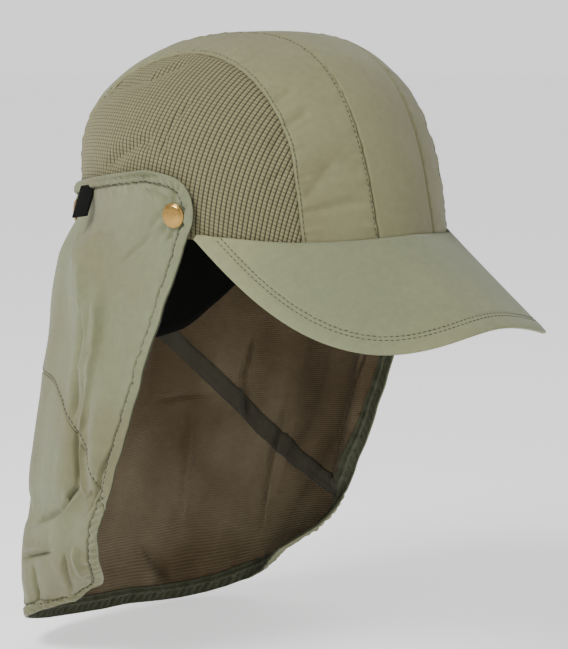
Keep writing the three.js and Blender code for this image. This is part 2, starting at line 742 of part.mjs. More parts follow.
// Where a snap sits on the flap, which way it faces, and how far its post reaches inwards.
// It is lifted to the highest place under its rim.
function snapPlace(side, { around, down }) {
  const near = (degrees) => {
    const aside = roundShare(SNAP.capRadius * Math.cos(degrees * DEGREE));
    const below = downShare(SNAP.capRadius * Math.sin(degrees * DEGREE));
    return flapFace(side * (around + aside), down + below);
  };
  const normal = near(0).sub(near(180)).cross(near(90).sub(near(270))).normalize().multiplyScalar(side);
  const at = flapFace(side * around, down);
  const lifts = range(8, (share) => near(360 * share).sub(at).dot(normal));
  at.addScaledVector(normal, Math.max(0, ...lifts));
  let reach = Infinity;
  const { fromAngle, toAngle, fromHeight, toHeight } = POST_SEARCH;
  for (let angle = fromAngle; angle <= toAngle; angle++)
    for (let z = fromHeight; z <= toHeight; z++)
      reach = Math.min(reach, crownAt(side * angle, z).distanceTo(at));
  return { at, normal, postLength: reach + MESH_THICKNESS };
}

const upTo = (normal) => new THREE.Quaternion().setFromUnitVectors(vector(0, 1, 0), normal);

function snap({ at, normal, postLength }) {
  const dome = range(SEGMENTS.dome, (share) => {
    const turn = (share * Math.PI) / 2;
    return new THREE.Vector2(
      SNAP.capRadius * Math.cos(turn),
      SNAP.seat + SNAP.skirt + (SNAP.capHeight - SNAP.skirt) * Math.sin(turn),
    );
  });
  dome[dome.length - 1].x = 0;
  const profile = [
    new THREE.Vector2(0, -postLength),
    new THREE.Vector2(SNAP.postRadius, -postLength),
    new THREE.Vector2(SNAP.postRadius, SNAP.seat),
    new THREE.Vector2(SNAP.capRadius, SNAP.seat),
    ...dome,
  ];
  return new THREE.LatheGeometry(profile, SEGMENTS.cap)
    .applyQuaternion(upTo(normal))
    .translate(at.x, at.y, at.z);
}

function postHole({ at, normal }) {
  return new THREE.CylinderGeometry(SNAP.holeRadius, SNAP.holeRadius, POST_HOLE_LENGTH, SEGMENTS.hole)
    .applyQuaternion(upTo(normal))
    .translate(at.x, at.y, at.z);
}

// Assembly

const cap = new THREE.Group();
const places = [RIGHT, LEFT].flatMap((side) =>
  SNAPS.map((place) => ({ side, name: place.name, ...snapPlace(side, place) })),
);
const word = (side) => (side === RIGHT ? "right" : "left");

cap.add(named("crown_centre", centreStrip(), WOVEN));
for (const side of [RIGHT, LEFT]) {
  const holes = places.filter((place) => place.side === side).map(postHole);
  cap.add(named(`crown_strip_${word(side)}`, sideStrip(side), WOVEN));
  cap.add(named(`crown_mesh_${word(side)}`, drilled(meshPanel(side), holes), MESH_CLOTH));
}
cap.add(named("sweatband", sweatband(), BLACK_CLOTH));
cap.add(named("peak", peak(), WOVEN));
cap.add(named("flap_upper", drilled(flapUpper(), places.map(postHole)), FLAP_CLOTH));
cap.add(named("flap_lower", flapLower(), FLAP_CLOTH));
cap.add(named("flap_seam_tape", seamTape(), TAPE_CLOTH));
cap.add(named("flap_hem", hem(), FLAP_CLOTH));
cap.add(named("ribbon_tab", tab(), BLACK_CLOTH));
for (const place of places) cap.add(named(`snap_${place.name}_${word(place.side)}`, snap(place), BRASS));

export default cap;
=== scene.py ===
"""Dresses the sun cap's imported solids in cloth, mesh, stitching and brass, and sets camera and light.

Design sizes are in millimetres in the cap's own frame: +Z up, the peak to -Y, the wearer's left to +X.
Finished pieces are in metres.
"""

import math

import bmesh
import bpy
import numpy as np
from bpy.props import FloatProperty, FloatVectorProperty, IntProperty, PointerProperty
from mathutils import Matrix, Vector
from mathutils.bvhtree import BVHTree
from mathutils.kdtree import KDTree


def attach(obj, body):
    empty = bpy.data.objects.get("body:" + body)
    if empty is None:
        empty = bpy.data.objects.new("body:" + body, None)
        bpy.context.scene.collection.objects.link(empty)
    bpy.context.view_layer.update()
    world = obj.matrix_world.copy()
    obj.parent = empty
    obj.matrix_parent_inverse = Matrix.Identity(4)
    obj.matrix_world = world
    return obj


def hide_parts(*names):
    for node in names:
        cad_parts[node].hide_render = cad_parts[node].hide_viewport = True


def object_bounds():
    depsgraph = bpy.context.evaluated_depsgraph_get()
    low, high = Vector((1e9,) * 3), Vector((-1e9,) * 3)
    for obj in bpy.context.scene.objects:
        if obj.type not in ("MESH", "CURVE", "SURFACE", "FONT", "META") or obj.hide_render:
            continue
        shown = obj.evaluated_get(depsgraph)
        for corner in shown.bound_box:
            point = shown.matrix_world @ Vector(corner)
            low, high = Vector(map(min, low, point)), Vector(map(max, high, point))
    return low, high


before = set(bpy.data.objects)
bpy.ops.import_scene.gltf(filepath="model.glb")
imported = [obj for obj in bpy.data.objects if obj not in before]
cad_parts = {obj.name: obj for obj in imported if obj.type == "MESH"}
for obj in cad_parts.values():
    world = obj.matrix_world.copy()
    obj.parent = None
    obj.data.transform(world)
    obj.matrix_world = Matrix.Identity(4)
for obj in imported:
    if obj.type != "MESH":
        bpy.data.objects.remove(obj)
CAD_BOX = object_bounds()

bl_info = {
    "name": "Sun Cap",
    "version": (1, 0, 0),
    "blender": (4, 5, 0),
    "location": "3D View > Sidebar > Sun Cap",
    "description": "Dresses the sun cap in cloth, mesh, stitching and brass",
    "category": "Object",
}

MM = 0.001
DEGREE = math.pi / 180
RIGHT, LEFT = -1, 1
SIDE_NAME = {RIGHT: "right", LEFT: "left"}


def table(columns, *rows):
    """A short table with named columns."""
    return {name: np.array([row[k] for row in rows], float) for k, name in enumerate(columns.split())}


# Crown

HALF_WIDTH, FRONT_REACH, BACK_REACH, CROWN_HEIGHT = 87.4, 89.8, 106.5, 102.1
PLAN_POWER, DOME_POWER = 1.825, 2.679
LEAN, LEAN_FALL, BULGE, BACK_WALL_TOP, BACK_WALL_START = 0.372, -0.311, 0.084, 33.0, -0.2
UNDRESS_STEPS = 7
RIM = table(
    "angle height",
    (0, 2.6),
    (40, 0.4),
    (78, 3.6),
    (105, -6),
    (130, -22),
    (141, -33),
    (151, -48),
    (163, -63),
    (180, -69),
)
SEAMS = table(
    "over inner outer",
    (-10, 14.0, 40.0),
    (0, 13.6, 39.3),
    (20, 12.3, 35.5),
    (40, 11.4, 31.2),
    (60, 10.8, 30.2),
    (90, 10.7, 30.0),
    (120, 11.6, 31.2),
    (150, 12.8, 31.0),
    (180, 13.8, 30.5),
    (215, 14.4, 30.0),
)
# The sweatband reaches high at the back to fill the crown's dark hollow, so it is partly painted shade.
BAND_TOP = table("angle height", (0, 36), (78, 34), (110, 22), (140, 4), (180, -10))
STRIP_GRID, BAND_GRID = (240, 44), (160, 14)
# Angles over the head between which every line of a strip meets the rim, in front and behind
FRONT_ENDS, BACK_ENDS = (-12, 40), (150, 225)

# Peak

PEAK_HALF_WIDTH, PEAK_LENGTH, PEAK_ROOT_BACK, PEAK_POWER = 87.5, 121.2, 24.5, 0.752
PEAK_SLOPE, PEAK_ARCH, PEAK_ROOT_HEIGHT, PEAK_END_ANGLE = 0.744, 77.8, 2.8, 73.0
PEAK_END_WIDTH, PEAK_OVERLAP, PEAK_ROOT_GAP = 3.2, 0.6, 1.25
PEAK_STITCHES, PEAK_GRID = (10.3, 8.0), (240, 56)
# How far the crown reaches down behind the peak, and the plan angles over which that ends
PEAK_TUCK, PEAK_TUCK_END, PEAK_TUCK_FADE = 2.2, 90, 12

# Neck flap: sections from the top edge to the hem, and the share of the way down of its slanting seam

FLAP = table(
    "front back front_x front_y wide wide_y back_y hug ease dip",
    (34.5, 12, 94, 1, 95, 20, 117, 1, 0.7, 0),
    (32, 9, 92, -13, 95, 20, 117, 1, 0.7, 0),
    (28, 5, 90.5, -19.5, 95, 20, 117, 1, 0.75, 0),
    (21, -1, 89.5, -23.5, 94.5, 22, 118, 0.95, 0.8, 0),
    (11, -9, 89, -24.6, 94, 24, 118.5, 0.6, 0.9, 0),
    (-5, -22, 90, -20, 93, 26, 119, 0.2, 1, 0),
    (-37, -50, 94.5, -9, 93.2, 30, 120, 0, 1, 0),
    (-70, -84, 98, 2, 98, 34, 121, 0, 1.1, 0),
    (-100, -115, 98, 13.3, 99, 40, 126, 0, 1.2, 0),
    (-132, -148, 97.4, 26.8, 98, 50, 134, 0, 1.4, 0.5),
    (-150, -167, 96.4, 35, 97.5, 58, 137.5, 0, 1.6, 1),
    (-163, -182, 90.5, 41.5, 96, 68, 138.5, 0, 1.9, 2),
    (-173, -196, 82, 48.5, 93, 78, 138, 0, 2.2, 3),
    (-181.5, -209.5, 71.5, 58.5, 88, 88, 136, 0, 2.5, 4),
    (-191.5, -223, 62.4, 72.6, 84, 98, 133, 0, 2.8, 5),
)
FLAP["share"] = (FLAP["front"][0] - FLAP["front"]) / (FLAP["front"][0] - FLAP["front"][-1])
FLAP_CORNER_POWER, FLAP_STANDOFF, RIGHT_EASE, BACK_EASE = 2.5, 2.5, 1.2, 0.07
FLAP_ROUND, FLAP_DOWN = 235.0, 232.0
FLAP_GRID, HEM_GRID, TAPE_GRID = (430, 108), (420, 210), (300, 12)
FLAP_SEAM = table(
    "around right left",
    (0, 0.289, 0.289),
    (0.2, 0.371, 0.418),
    (0.4, 0.43, 0.557),
    (0.6, 0.467, 0.689),
    (0.8, 0.594, 0.784),
    (1, 0.761, 0.85),
)
CORNER_ROUNDING, CORNER_START = 5.0, 0.9
FLAP_FOLDS = table(
    "side around down to_around to_down width rise",
    (RIGHT, 0.62, 0.174, 0.9, 0.628, 13, 4.5),
    (RIGHT, 0.8, 0.5, 0.87, 0.739, 10.5, -5),
    (RIGHT, 0.5, 0.771, 0.78, 0.75, 7, -3),
    (RIGHT, 0.42, 0.114, 0.5, 0.666, 14, 1.5),
    (LEFT, 0.87, 0.446, 0.95, 0.808, 9, -4.5),
    (LEFT, 0.6, 0.289, 0.66, 0.666, 14, 3.5),
    (LEFT, 0.93, 0.88, 1, 0.97, 18, 3.5),
    (LEFT, 0.3, 0.792, 0.4, 0.931, 14, 3),
)

# Snaps and tab

SNAPS = {"front": (0.938, 0.091), "back": (0.345, 0.052)}
SNAP_SEAT, SNAP_POST_RADIUS, TAB_GRID = 0.7, 1.9, (10, 60)
TAB_AROUND, TAB_DOWN, TAB_WIDTH, TAB_LENGTH = 0.575, 0.014, 8.5, 17.0
TAB_TURN, TAB_SWING, TAB_CLEAR, TAB_FOLD, TAB_BELLY = 42 * DEGREE, (2.0, -9.0), 2.6, 0.6, 0.5


def number(name, description, default, **more):
    """A property with a number."""
    return FloatProperty(name=name, description=description, default=default, **more)


def length(name, description, default):
    """A property with a small length in metres."""
    return number(name, description, default, min=0, unit="LENGTH", precision=5)


def paint(name, description, default):
    """A property with a colour."""
    given = {"name": name, "description": description, "default": default}
    return FloatVectorProperty(**given, subtype="COLOR", size=3, min=0, max=1)


class CapColours(bpy.types.PropertyGroup):
    """Colours of the cap's cloths, thread and snaps."""

    woven: paint("Woven cloth", "Crown strips", (0.186, 0.183, 0.092))
    woven_warm: paint("Woven cloth, warm", "Tone the woven cloth drifts to", (0.169, 0.156, 0.077))
    peak: paint("Peak cloth", "Top of the peak", (0.256, 0.257, 0.126))
    mesh: paint("Mesh thread", "Ribs of the crown's mesh sides", (0.172, 0.157, 0.075))
    # The mesh gaps' dark colour is painted shade in the recesses between the ribs.
    mesh_gap_shade: paint("Mesh gaps", "Gaps between the ribs of the mesh", (0.022, 0.018, 0.008))
    flap: paint("Flap cloth", "Outer face of the neck flap", (0.168, 0.182, 0.097))
    flap_warm: paint("Flap cloth, warm", "Tone the flap cloth drifts to", (0.152, 0.150, 0.076))
    lining: paint("Flap inside", "Inner face of the neck flap", (0.080, 0.055, 0.026))
    lining_warm: paint("Flap inside, light", "Tone the flap's inside drifts to", (0.150, 0.117, 0.068))
    # The hem is the flap's face cloth; its dark colour is painted shade inside the flap.
    hem: paint("Hem inside", "Hem turned to the inside of the flap", (0.052, 0.056, 0.030))
    under: paint("Peak underside", "Cloth under the peak", (0.030, 0.040, 0.026))
    # The tape is the flap's face cloth; its dark colour is painted shade inside the flap.
    tape: paint("Seam tape", "Tape over the seam inside the flap", (0.046, 0.041, 0.025))
    # Near-black: black cloth for the tab, and on the sweatband also painted shade of the crown's hollow.
    black: paint("Black cloth", "Sweatband and ribbon tab", (0.004, 0.004, 0.0035))
    thread: paint("Thread", "Topstitching", (0.035, 0.035, 0.020))
    brass: paint("Brass", "Snap caps", (0.420, 0.255, 0.075))


class CapSizes(bpy.types.PropertyGroup):
    """Sizes of the cloth's fine detail."""

    rib_pitch: length("Rib pitch", "Distance between the ribs of the mesh", 0.00254)
    rung_pitch: length("Rung pitch", "Distance between the rungs of the mesh", 0.00184)
    rib_depth: length("Rib depth", "Depth of the gaps between the ribs", 0.00045)
    rung_depth: length("Rung depth", "Depth of the lines between the rungs", 0.00022)
    stitch_pitch: length("Stitch pitch", "Distance from one stitch to the next", 0.0027)
    stitch_length: length("Stitch length", "Length of a stitch", 0.0022)
    stitch_width: length("Stitch width", "Width of the sewing thread", 0.0006)
    topstitch: length("Topstitch inset", "Distance of the topstitching from a crown seam", 0.0016)
    hem: length("Hem stitching inset", "Distance of the flap's hem stitching from its edge", 0.0056)
    hem_width: length("Hem width", "Width of the hem turned inside the flap", 0.009)
    tape_width: length("Tape width", "Width of the tape inside the flap", 0.0095)
    weave: length("Weave pitch", "Distance between the threads of the woven cloth", 0.0005)
    snap_radius: length("Snap radius", "Radius of a snap cap", 0.00615)
    snap_height: length("Snap height", "Height of a snap cap above the cloth", 0.0023)


class CapStage(bpy.types.PropertyGroup):
    """Floor, light and camera."""

    floor: number("Floor radius", "Radius of the pale floor", 40, unit="LENGTH")
    lens: number("Lens", "Focal length", 123.4, subtype="DISTANCE_CAMERA")
    key: number("Key light", "Power of the soft light", 27, unit="POWER")
    fill: number("Fill light", "Power of the weak light", 2.5, unit="POWER")
    sky: number("Sky", "Strength of the light from above", 0.5, min=0)
    horizon: number("Horizon", "Strength of the light from low down", 1.3, min=0)
    glow: number("Floor glow", "Light that the floor gives itself", 0.8, min=0)
    segments: IntProperty(name="Segments", description="Segments of a round shape", default=40, min=12)


def smooth(value):
    """Eases from 0 to 1."""
    t = np.clip(value, 0, 1)
    return t * t * (3 - 2 * t)


def mix(a, b, t):
    """The value a share t of the way from a to b."""
    return a + (b - a) * t


def bump_at(distance, width):
    """A soft ridge of height 1 on a line, with a half-width."""
    return np.exp(-((distance / width) ** 2))


def ridge(shape, distance):
    """A soft ridge or groove on a line, its shape given as height and half-width."""
    height, width = shape
    return height * bump_at(distance, width)


def rounding(shape, distance):
    """Height that the rounding of an edge adds near it, its shape given as height and width."""
    height, width = shape
    return height * np.clip(1 - distance / width, 0, 1) ** 2


# A fold's run-out past its ends and its fade, in lengths of its line, then how wide its foot is against its
# own width, how narrow the foot gets at the ends and how round the top is
FOLD_RUN_OUT, FOLD_FADE, FOLD_FOOT, FOLD_TAPER, FOLD_ROUNDNESS = 0.25, 0.45, 1.7, 0.45, 0.35


def crease(along, away, width):
    """Profile of a fold: sharp on its line, wide at its foot, and running out past its ends."""
    before, after = along + FOLD_RUN_OUT, 1 + FOLD_RUN_OUT - along
    fade = smooth(before / FOLD_FADE) * smooth(after / FOLD_FADE)
    reach = np.clip(1 - away / (FOLD_FOOT * width * mix(FOLD_TAPER, 1, fade)), 0, 1)
    return fade * mix(reach**2, smooth(reach), FOLD_ROUNDNESS)


def unit(vectors):
    """Rows scaled to length 1."""
    return vectors / np.maximum(np.linalg.norm(vectors, axis=-1, keepdims=True), 1e-12)


def curve_through(rows, x_name, y_name):
    """A smooth curve through a table's rows that never overshoots them."""
    x, y = rows[x_name], rows[y_name]
    slope = np.diff(y) / np.diff(x)
    before, after = slope[:-1], slope[1:]
    steady = before * after > 0
    middle = np.where(steady, 2 * before * after / np.where(steady, before + after, 1), 0)
    tangent = np.concatenate([slope[:1], middle, slope[-1:]])

    def curve(value):
        at = np.clip(value, x[0], x[-1])
        i = np.clip(np.searchsorted(x, at, side="left") - 1, 0, len(x) - 2)
        step = x[i + 1] - x[i]
        t = (at - x[i]) / step
        rest = 1 - t
        ends = y[i] * (1 + 2 * t) * rest**2 + y[i + 1] * (3 - 2 * t) * t**2
        return ends + tangent[i] * step * t * rest**2 - tangent[i + 1] * step * t**2 * rest

    return curve


def bisect(function, low, high, steps=34):
    """Where a function goes from below zero at low to above zero at high, for numbers or arrays."""
    low, high = np.asarray(low, float), np.asarray(high, float)
    for _ in range(steps):
        middle = (low + high) / 2
        above = function(middle) > 0
        high = np.where(above, middle, high)
        low = np.where(above, low, middle)
    return (low + high) / 2


rim_height = curve_through(RIM, "angle", "height")
band_top = curve_through(BAND_TOP, "angle", "height")
inner_seam = curve_through(SEAMS, "over", "inner")
outer_seam = curve_through(SEAMS, "over", "outer")
seam_curves = {
    RIGHT: curve_through(FLAP_SEAM, "around", "right"),
    LEFT: curve_through(FLAP_SEAM, "around", "left"),
}


def reach_of(y):
    """The crown's reach forwards or backwards."""
    return np.where(y < 0, FRONT_REACH, BACK_REACH)


def plan_size(x, y):
    """How far out of the crown's plan a point is, 1 on the plan line."""
    aside, ahead = np.abs(x / HALF_WIDTH), np.abs(y / reach_of(y))
    return (aside**PLAN_POWER + ahead**PLAN_POWER) ** (1 / PLAN_POWER)


def lean_at(z):
    """How far back the crown leans at a height."""
    return LEAN * z + LEAN_FALL * z * z / CROWN_HEIGHT


def lean_of(y, z):
    """Lean of a point before it is leant: the back wall stays upright below its top."""
    rearward = smooth(y / reach_of(y) - BACK_WALL_START)
    return mix(lean_at(z), lean_at(np.maximum(z, BACK_WALL_TOP)), rearward)


def swell_at(z):
    """Bulge of the crown's wall at a height."""
    share = np.clip(z / CROWN_HEIGHT, 0, 1)
    return 4 * share * (1 - share) * BULGE


def dress(x, y, z):
    """Bulges the plain dome and leans it back."""
    swell = swell_at(z)
    return np.stack([x * (1 + swell), y * (1 + swell / 2) + lean_of(y, z), z + 0 * x], -1)


def undress(points):
    """The plain dome's point for a point of the crown."""
    x, y, z = np.moveaxis(points, -1, 0)
    swell = swell_at(z)
    plain_y = y + 0
    for _ in range(UNDRESS_STEPS):
        plain_y = (y - lean_of(plain_y, z)) / (1 + swell / 2)
    return np.stack([x / (1 + swell), plain_y, z], -1)


def dome_rise(z):
    """How much of the dome's reach a height uses up, 1 at its top."""
    return np.where(z > 0, np.abs(z / CROWN_HEIGHT) ** DOME_POWER, 0)


def crown_along(direction):
    """Point of the crown's outer surface in a direction from the origin."""
    x, y, z = np.moveaxis(direction, -1, 0)
    radius = (plan_size(x, y) ** DOME_POWER + dome_rise(z)) ** (-1 / DOME_POWER)
    return dress(x * radius, y * radius, z * radius)


def outwards(angle):
    """Level direction at a plan angle in degrees from the front, + to the wearer's left."""
    return np.stack([np.sin(angle * DEGREE), -np.cos(angle * DEGREE), 0 * angle], -1)


def crown_at(angle, z):
    """Point of the crown at a plan angle in degrees from the front and a height."""
    dx, dy, flat = np.moveaxis(outwards(np.asarray(angle, float)), -1, 0)
    share = np.clip(z / CROWN_HEIGHT, 0, 1)
    radius = np.where(z > 0, (1 - share**DOME_POWER) ** (1 / DOME_POWER), 1) / plan_size(dx, dy)
    return dress(dx * radius, dy * radius, z + flat)


def crown_facing(direction):
    """Outward normal of the crown in a direction from the origin."""
    helper = np.where(np.abs(direction[:, :1]) > 0.8, [[0.0, 0.0, 1.0]], [[1.0, 0.0, 0.0]])
    first = unit(np.cross(direction, helper))
    second = np.cross(direction, first)
    step = 1e-3
    across = crown_along(direction + first * step) - crown_along(direction - first * step)
    over = crown_along(direction + second * step) - crown_along(direction - second * step)
    normal = unit(np.cross(across, over))
    return normal * np.sign((normal * direction).sum(-1, keepdims=True))


def over_direction(over, aside):
    """Direction over the head by an angle, leaning to the side by another, in degrees."""
    a, b = over * DEGREE, aside * DEGREE
    return np.stack([np.sin(b), -np.cos(b) * np.cos(a), np.cos(b) * np.sin(a)], -1)


def plan_angle(direction):
    """Angle from the front in plan, in degrees, the same on both sides."""
    return np.abs(np.arctan2(direction[..., 0], -direction[..., 1])) / DEGREE


def above_rim(direction):
    """Height of the crown's point above the crown's lower edge, in a direction."""
    angle = plan_angle(direction)
    lap = PEAK_TUCK * smooth((PEAK_TUCK_END - angle) / PEAK_TUCK_FADE)
    return crown_along(direction)[..., 2] - rim_height(angle) + lap


# Folds on the crown: from a plan angle and height to another, with half-width and rise in millimetres
CROWN_FOLDS = table(
    "angle height to_angle to_height width rise",
    (-139, 69, -102, 78, 4.6, -2.4),
    (-102, 78, -87, 86, 4.0, -2.0),
    (-135, 60, -104, 68, 5.0, 0.8),
    (-107, 36, -90, 47, 4.4, -2.4),
    (-90, 47, -85, 49, 3.6, -1.9),
    (-74, 66, -80, 51, 2.2, -1.4),
    (-80, 51, -79, 42, 2.0, -1.3),
    (-76, 66, -71, 68, 1.5, -0.7),
    (-46, 29, -38, 35.5, 2.4, -1.4),
    (-43, 44, -38.5, 54, 4.5, -1.6),
    (-42, 67, -35, 73, 2.6, -1.6),
    (-38.5, 55, -30, 63, 2.4, -1.6),
    (-38, 53.5, -30, 57, 2.2, -1.2),
    (-36, 32, -23, 33, 2.6, -1.3),
    (-33.5, 24, -24.4, 38, 5.5, -1.8),
    (-35, 14.5, -16, 20.6, 2.8, -1.3),
    (138, 66, 100, 80, 3.0, -1.9),
    (100, 80, 84, 84, 2.6, -1.5),
    (112, 34, 92, 44, 5.0, -1.5),
    (72, 64, 79, 46, 2.2, -0.8),
    (44, 64, 36, 70, 2.6, -1.5),
    (39, 50, 30, 58, 2.6, -1.5),
    (36, 30, 24, 34, 2.8, -1.3),
)


def fold_lines(points, normals, folds):
    """Height that folds add at each point: ridges or valleys along lines on the surface."""
    ridges, valleys = np.zeros(len(points)), np.zeros(len(points))
    for k, height in enumerate(folds["rise"]):
        start = crown_at(folds["angle"][k], folds["height"][k])
        end = crown_at(folds["to_angle"][k], folds["to_height"][k])
        line = end - start
        share = ((points - start) @ line) / (line @ line)
        away = points - start - share[:, None] * line
        away -= normals * (away * normals).sum(-1, keepdims=True)
        near = (points * (start + end)).sum(-1) > 0
        rise = height * crease(share, np.linalg.norm(away, axis=-1), folds["width"][k]) * near
        ridges, valleys = np.maximum(ridges, rise), np.minimum(valleys, rise)
    return ridges + valleys


# Size, rate, turn with the seed, and shift of the waves in a ripple
RIPPLE_WAVES = ((0.5, 1, 1, 0), (0.3, 1.73, 2.1, 1), (0.2, 0.61, 3.7, 0))


def ripple(along, wavelength, seed=0.0):
    """An uneven ripple along a line, between -1 and 1."""
    a = along / wavelength * 2 * math.pi
    return sum(size * np.sin(rate * a + turn * seed + shift) for size, rate, turn, shift in RIPPLE_WAVES)


def puckers(shape, along, distance, seed=0.0):
    """Ripples beside a line, shaped by height, wavelength, distance of their middle and half-width."""
    height, wavelength, inset, width = shape
    return height * ripple(along, wavelength, seed) * bump_at(distance - inset, width)


def size_of(name):
    """One of the cap's sizes in millimetres."""
    return getattr(bpy.context.scene.sun_cap_sizes, name) / MM


# Pieces


def grid(columns, rows):
    """A flat grid and its vertices' shares across and up."""
    bm = bmesh.new()
    bmesh.ops.create_grid(bm, x_segments=columns, y_segments=rows, size=0.5)
    bm.verts.index_update()
    shares = np.array([vert.co[:2] for vert in bm.verts]) + 0.5
    return bm, shares[:, 0], shares[:, 1]


def trim(bm, u, v, inside):
    """Cuts a grid back to where inside, given at its vertices, is above zero, its edge on the line."""
    number = bm.verts.layers.int.new("number")
    for vert in bm.verts:
        vert[number] = vert.index
    gone = [face for face in bm.faces if all(inside[vert.index] <= 0 for vert in face.verts)]
    bmesh.ops.delete(bm, geom=gone, context="FACES")
    u, v = u.copy(), v.copy()
    moved = []
    for vert in bm.verts:
        here = vert[number]
        if inside[here] > 0:
            continue
        beside = [edge.other_vert(vert)[number] for edge in vert.link_edges]
        across = [other[number] for face in vert.link_faces for other in face.verts]
        best = max(beside, key=lambda k: inside[k])
        if inside[best] <= 0:
            best = max(across, key=lambda k: inside[k])
        share = inside[here] / (inside[here] - inside[best])
        moved.append((here, mix(u[here], u[best], share), mix(v[here], v[best], share)))
    for here, new_u, new_v in moved:
        u[here], v[here] = new_u, new_v
    kept = [vert[number] for vert in bm.verts]
    bm.verts.index_update()
    return u[kept], v[kept]


def place_object(name, data, place=(0, 0, 0), back=None):
    """A new object in the scene at a place, with its back turned to a direction."""
    made = bpy.data.objects.new(name, data)
    made.location = place
    if back is not None:
        made.rotation_euler = back.to_track_quat("Z", "Y").to_euler()
    bpy.context.scene.collection.objects.link(made)
    return made


def place_mesh(name, bm, materials):
    """Turns a smooth-shaded bmesh into an object with its materials."""
    for face in bm.faces:
        face.smooth = True
    mesh = bpy.data.meshes.new(name)
    bm.to_mesh(mesh)
    bm.free()
    for material in materials:
        mesh.materials.append(material)
    return place_object(name, mesh)


# Materials of the outer and inner face, wall in millimetres and finish of each kind of cloth
CLOTHS = {
    "woven": (("Woven cloth", "Flap inside"), 1.2, "woven_cloth"),
    "mesh": (("Crown mesh",), 0.9, "mesh_cloth"),
    "band": (("Black cloth",), 1.2, "black_cloth"),
    "peak": (("Peak cloth", "Peak underside"), 1.8, "woven_cloth"),
    "flap": (("Flap cloth", "Flap inside"), 0.7, "flap_cloth"),
    "hem": (("Hem inside",), 0.6, "flap_cloth"),
    "tape": (("Seam tape",), 0.7, "tape_cloth"),
    "tab": (("Black cloth",), 0.5, "black_cloth"),
}
MERGE_DISTANCE = 1e-6


SURFACES = {}


def make_piece(solid, kind, bm, points, normals, rise, cloth, name=None, merge=False):
    """Raises a grid along its normals, turns its faces outwards and gives it a wall, in place of a solid."""
    name = name or f"{solid}_cloth"
    looks, thickness, slot = CLOTHS[kind]
    for vert, point in zip(bm.verts, (points + normals * rise[:, None]) * MM):
        vert.co = point
    weave = bm.loops.layers.uv.new("Cloth")
    for face in bm.faces:
        for loop in face.loops:
            loop[weave].uv = cloth[loop.vert.index]
    bm.normal_update()
    agree = sum(face.normal.dot(Vector(normals[face.verts[0].index])) for face in bm.faces)
    if agree < 0:
        bmesh.ops.reverse_faces(bm, faces=bm.faces[:])
    if merge:
        bmesh.ops.remove_doubles(bm, verts=bm.verts[:], dist=MERGE_DISTANCE)
    bm.normal_update()
    SURFACES[name] = BVHTree.FromBMesh(bm)
    piece = place_mesh(name, bm, [finish(look) for look in looks])
    wall = piece.modifiers.new("Wall", "SOLIDIFY")
    wall.thickness = thickness * MM
    wall.offset = -1
    wall.use_even_offset = False
    wall.material_offset = len(looks) - 1
    wall.material_offset_rim = 0
    return own(piece, [solid])


def own(piece, stands_for=()):
    """Makes a piece ride on the cap and hides the solids it stands for."""
    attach(piece, "root")
    if stands_for:
        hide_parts(*stands_for)
    return piece


# Materials


def node(tree, kind, place, inputs=None, **settings):
    """A new node at a place, with settings, and with inputs that are values or sockets to link from."""
    new = tree.nodes.new(kind)
    new.location = place
    for key, value in settings.items():
        setattr(new, key, value)
    for key, value in (inputs or {}).items():
        if isinstance(value, bpy.types.NodeSocket):
            tree.links.new(value, new.inputs[key])
        else:
            new.inputs[key].default_value = value
    return new


def calculate(tree, operation, place, *values):
    """Result of a math node on values or sockets."""
    return node(tree, "ShaderNodeMath", place, dict(enumerate(values)), operation=operation).outputs[0]


def ramp(tree, place, value, given, wanted=(0.0, 1.0), **settings):
    """A socket's value carried from one range to another."""
    inputs = dict(enumerate((value, *given, *wanted)))
    return node(tree, "ShaderNodeMapRange", place, inputs, **settings).outputs[0]


def noise(tree, place, vector, **values):
    """A noise over the places that a vector gives."""
    return node(tree, "ShaderNodeTexNoise", place, {"Vector": vector, **values}).outputs[0]


def blended(tree, place, share, first, second):
    """A colour between two others."""
    inputs = {"Factor": share, 6: first, 7: second}
    return node(tree, "ShaderNodeMix", place, inputs, data_type="RGBA").outputs[2]


def raised(tree, place, height, strength, depth, **below):
    """Normal of a relief, which can lie on another one."""
    inputs = {"Height": height, "Strength": strength, "Distance": depth, **below}
    return node(tree, "ShaderNodeBump", place, inputs).outputs[0]


def effect(name, inputs, outputs):
    """An empty shader node group with named inputs and outputs, and its input and output nodes."""
    group = bpy.data.node_groups.new(name, "ShaderNodeTree")
    for label, kind, default in inputs:
        socket = group.interface.new_socket(label, in_out="INPUT", socket_type=kind)
        if default is not None:
            socket.default_value = default
    for label, kind in outputs:
        group.interface.new_socket(label, in_out="OUTPUT", socket_type=kind)
    return group, node(group, "NodeGroupInput", (-900, 0)), node(group, "NodeGroupOutput", (600, 0))


NUMBER, COLOUR, VECTOR = "NodeSocketFloat", "NodeSocketColor", "NodeSocketVector"
WHITE = (1, 1, 1, 1)
SLUB_SCALE, WOVEN_SHADE = 700.0, 0.98
DRIFT_RANGE, MOTTLE_SCALE, MOTTLE_RANGE, MOTTLE_SHADE = (0.35, 0.65), 260.0, (0.3, 0.7), (0.93, 1.06)
WRINKLE_SCALE, WRINKLE_STRENGTH, WEAVE_STRENGTH = 75.0, 0.6, 0.5
# The gaps' dark colour is painted shade in the recesses between ribs and rungs.
# For the gaps between ribs and between rungs: where the thread starts and is full, in cells from the gap's
# middle, and how much of the thread's tone the gap has
SHADED_MESH_GAPS = (("X", (0.05, 0.19), 0.0), ("Y", (0.03, 0.20), 0.3))
BRASS_DULLING, BRASS_ROUGHNESS = 0.8, (0.2, 0.34)


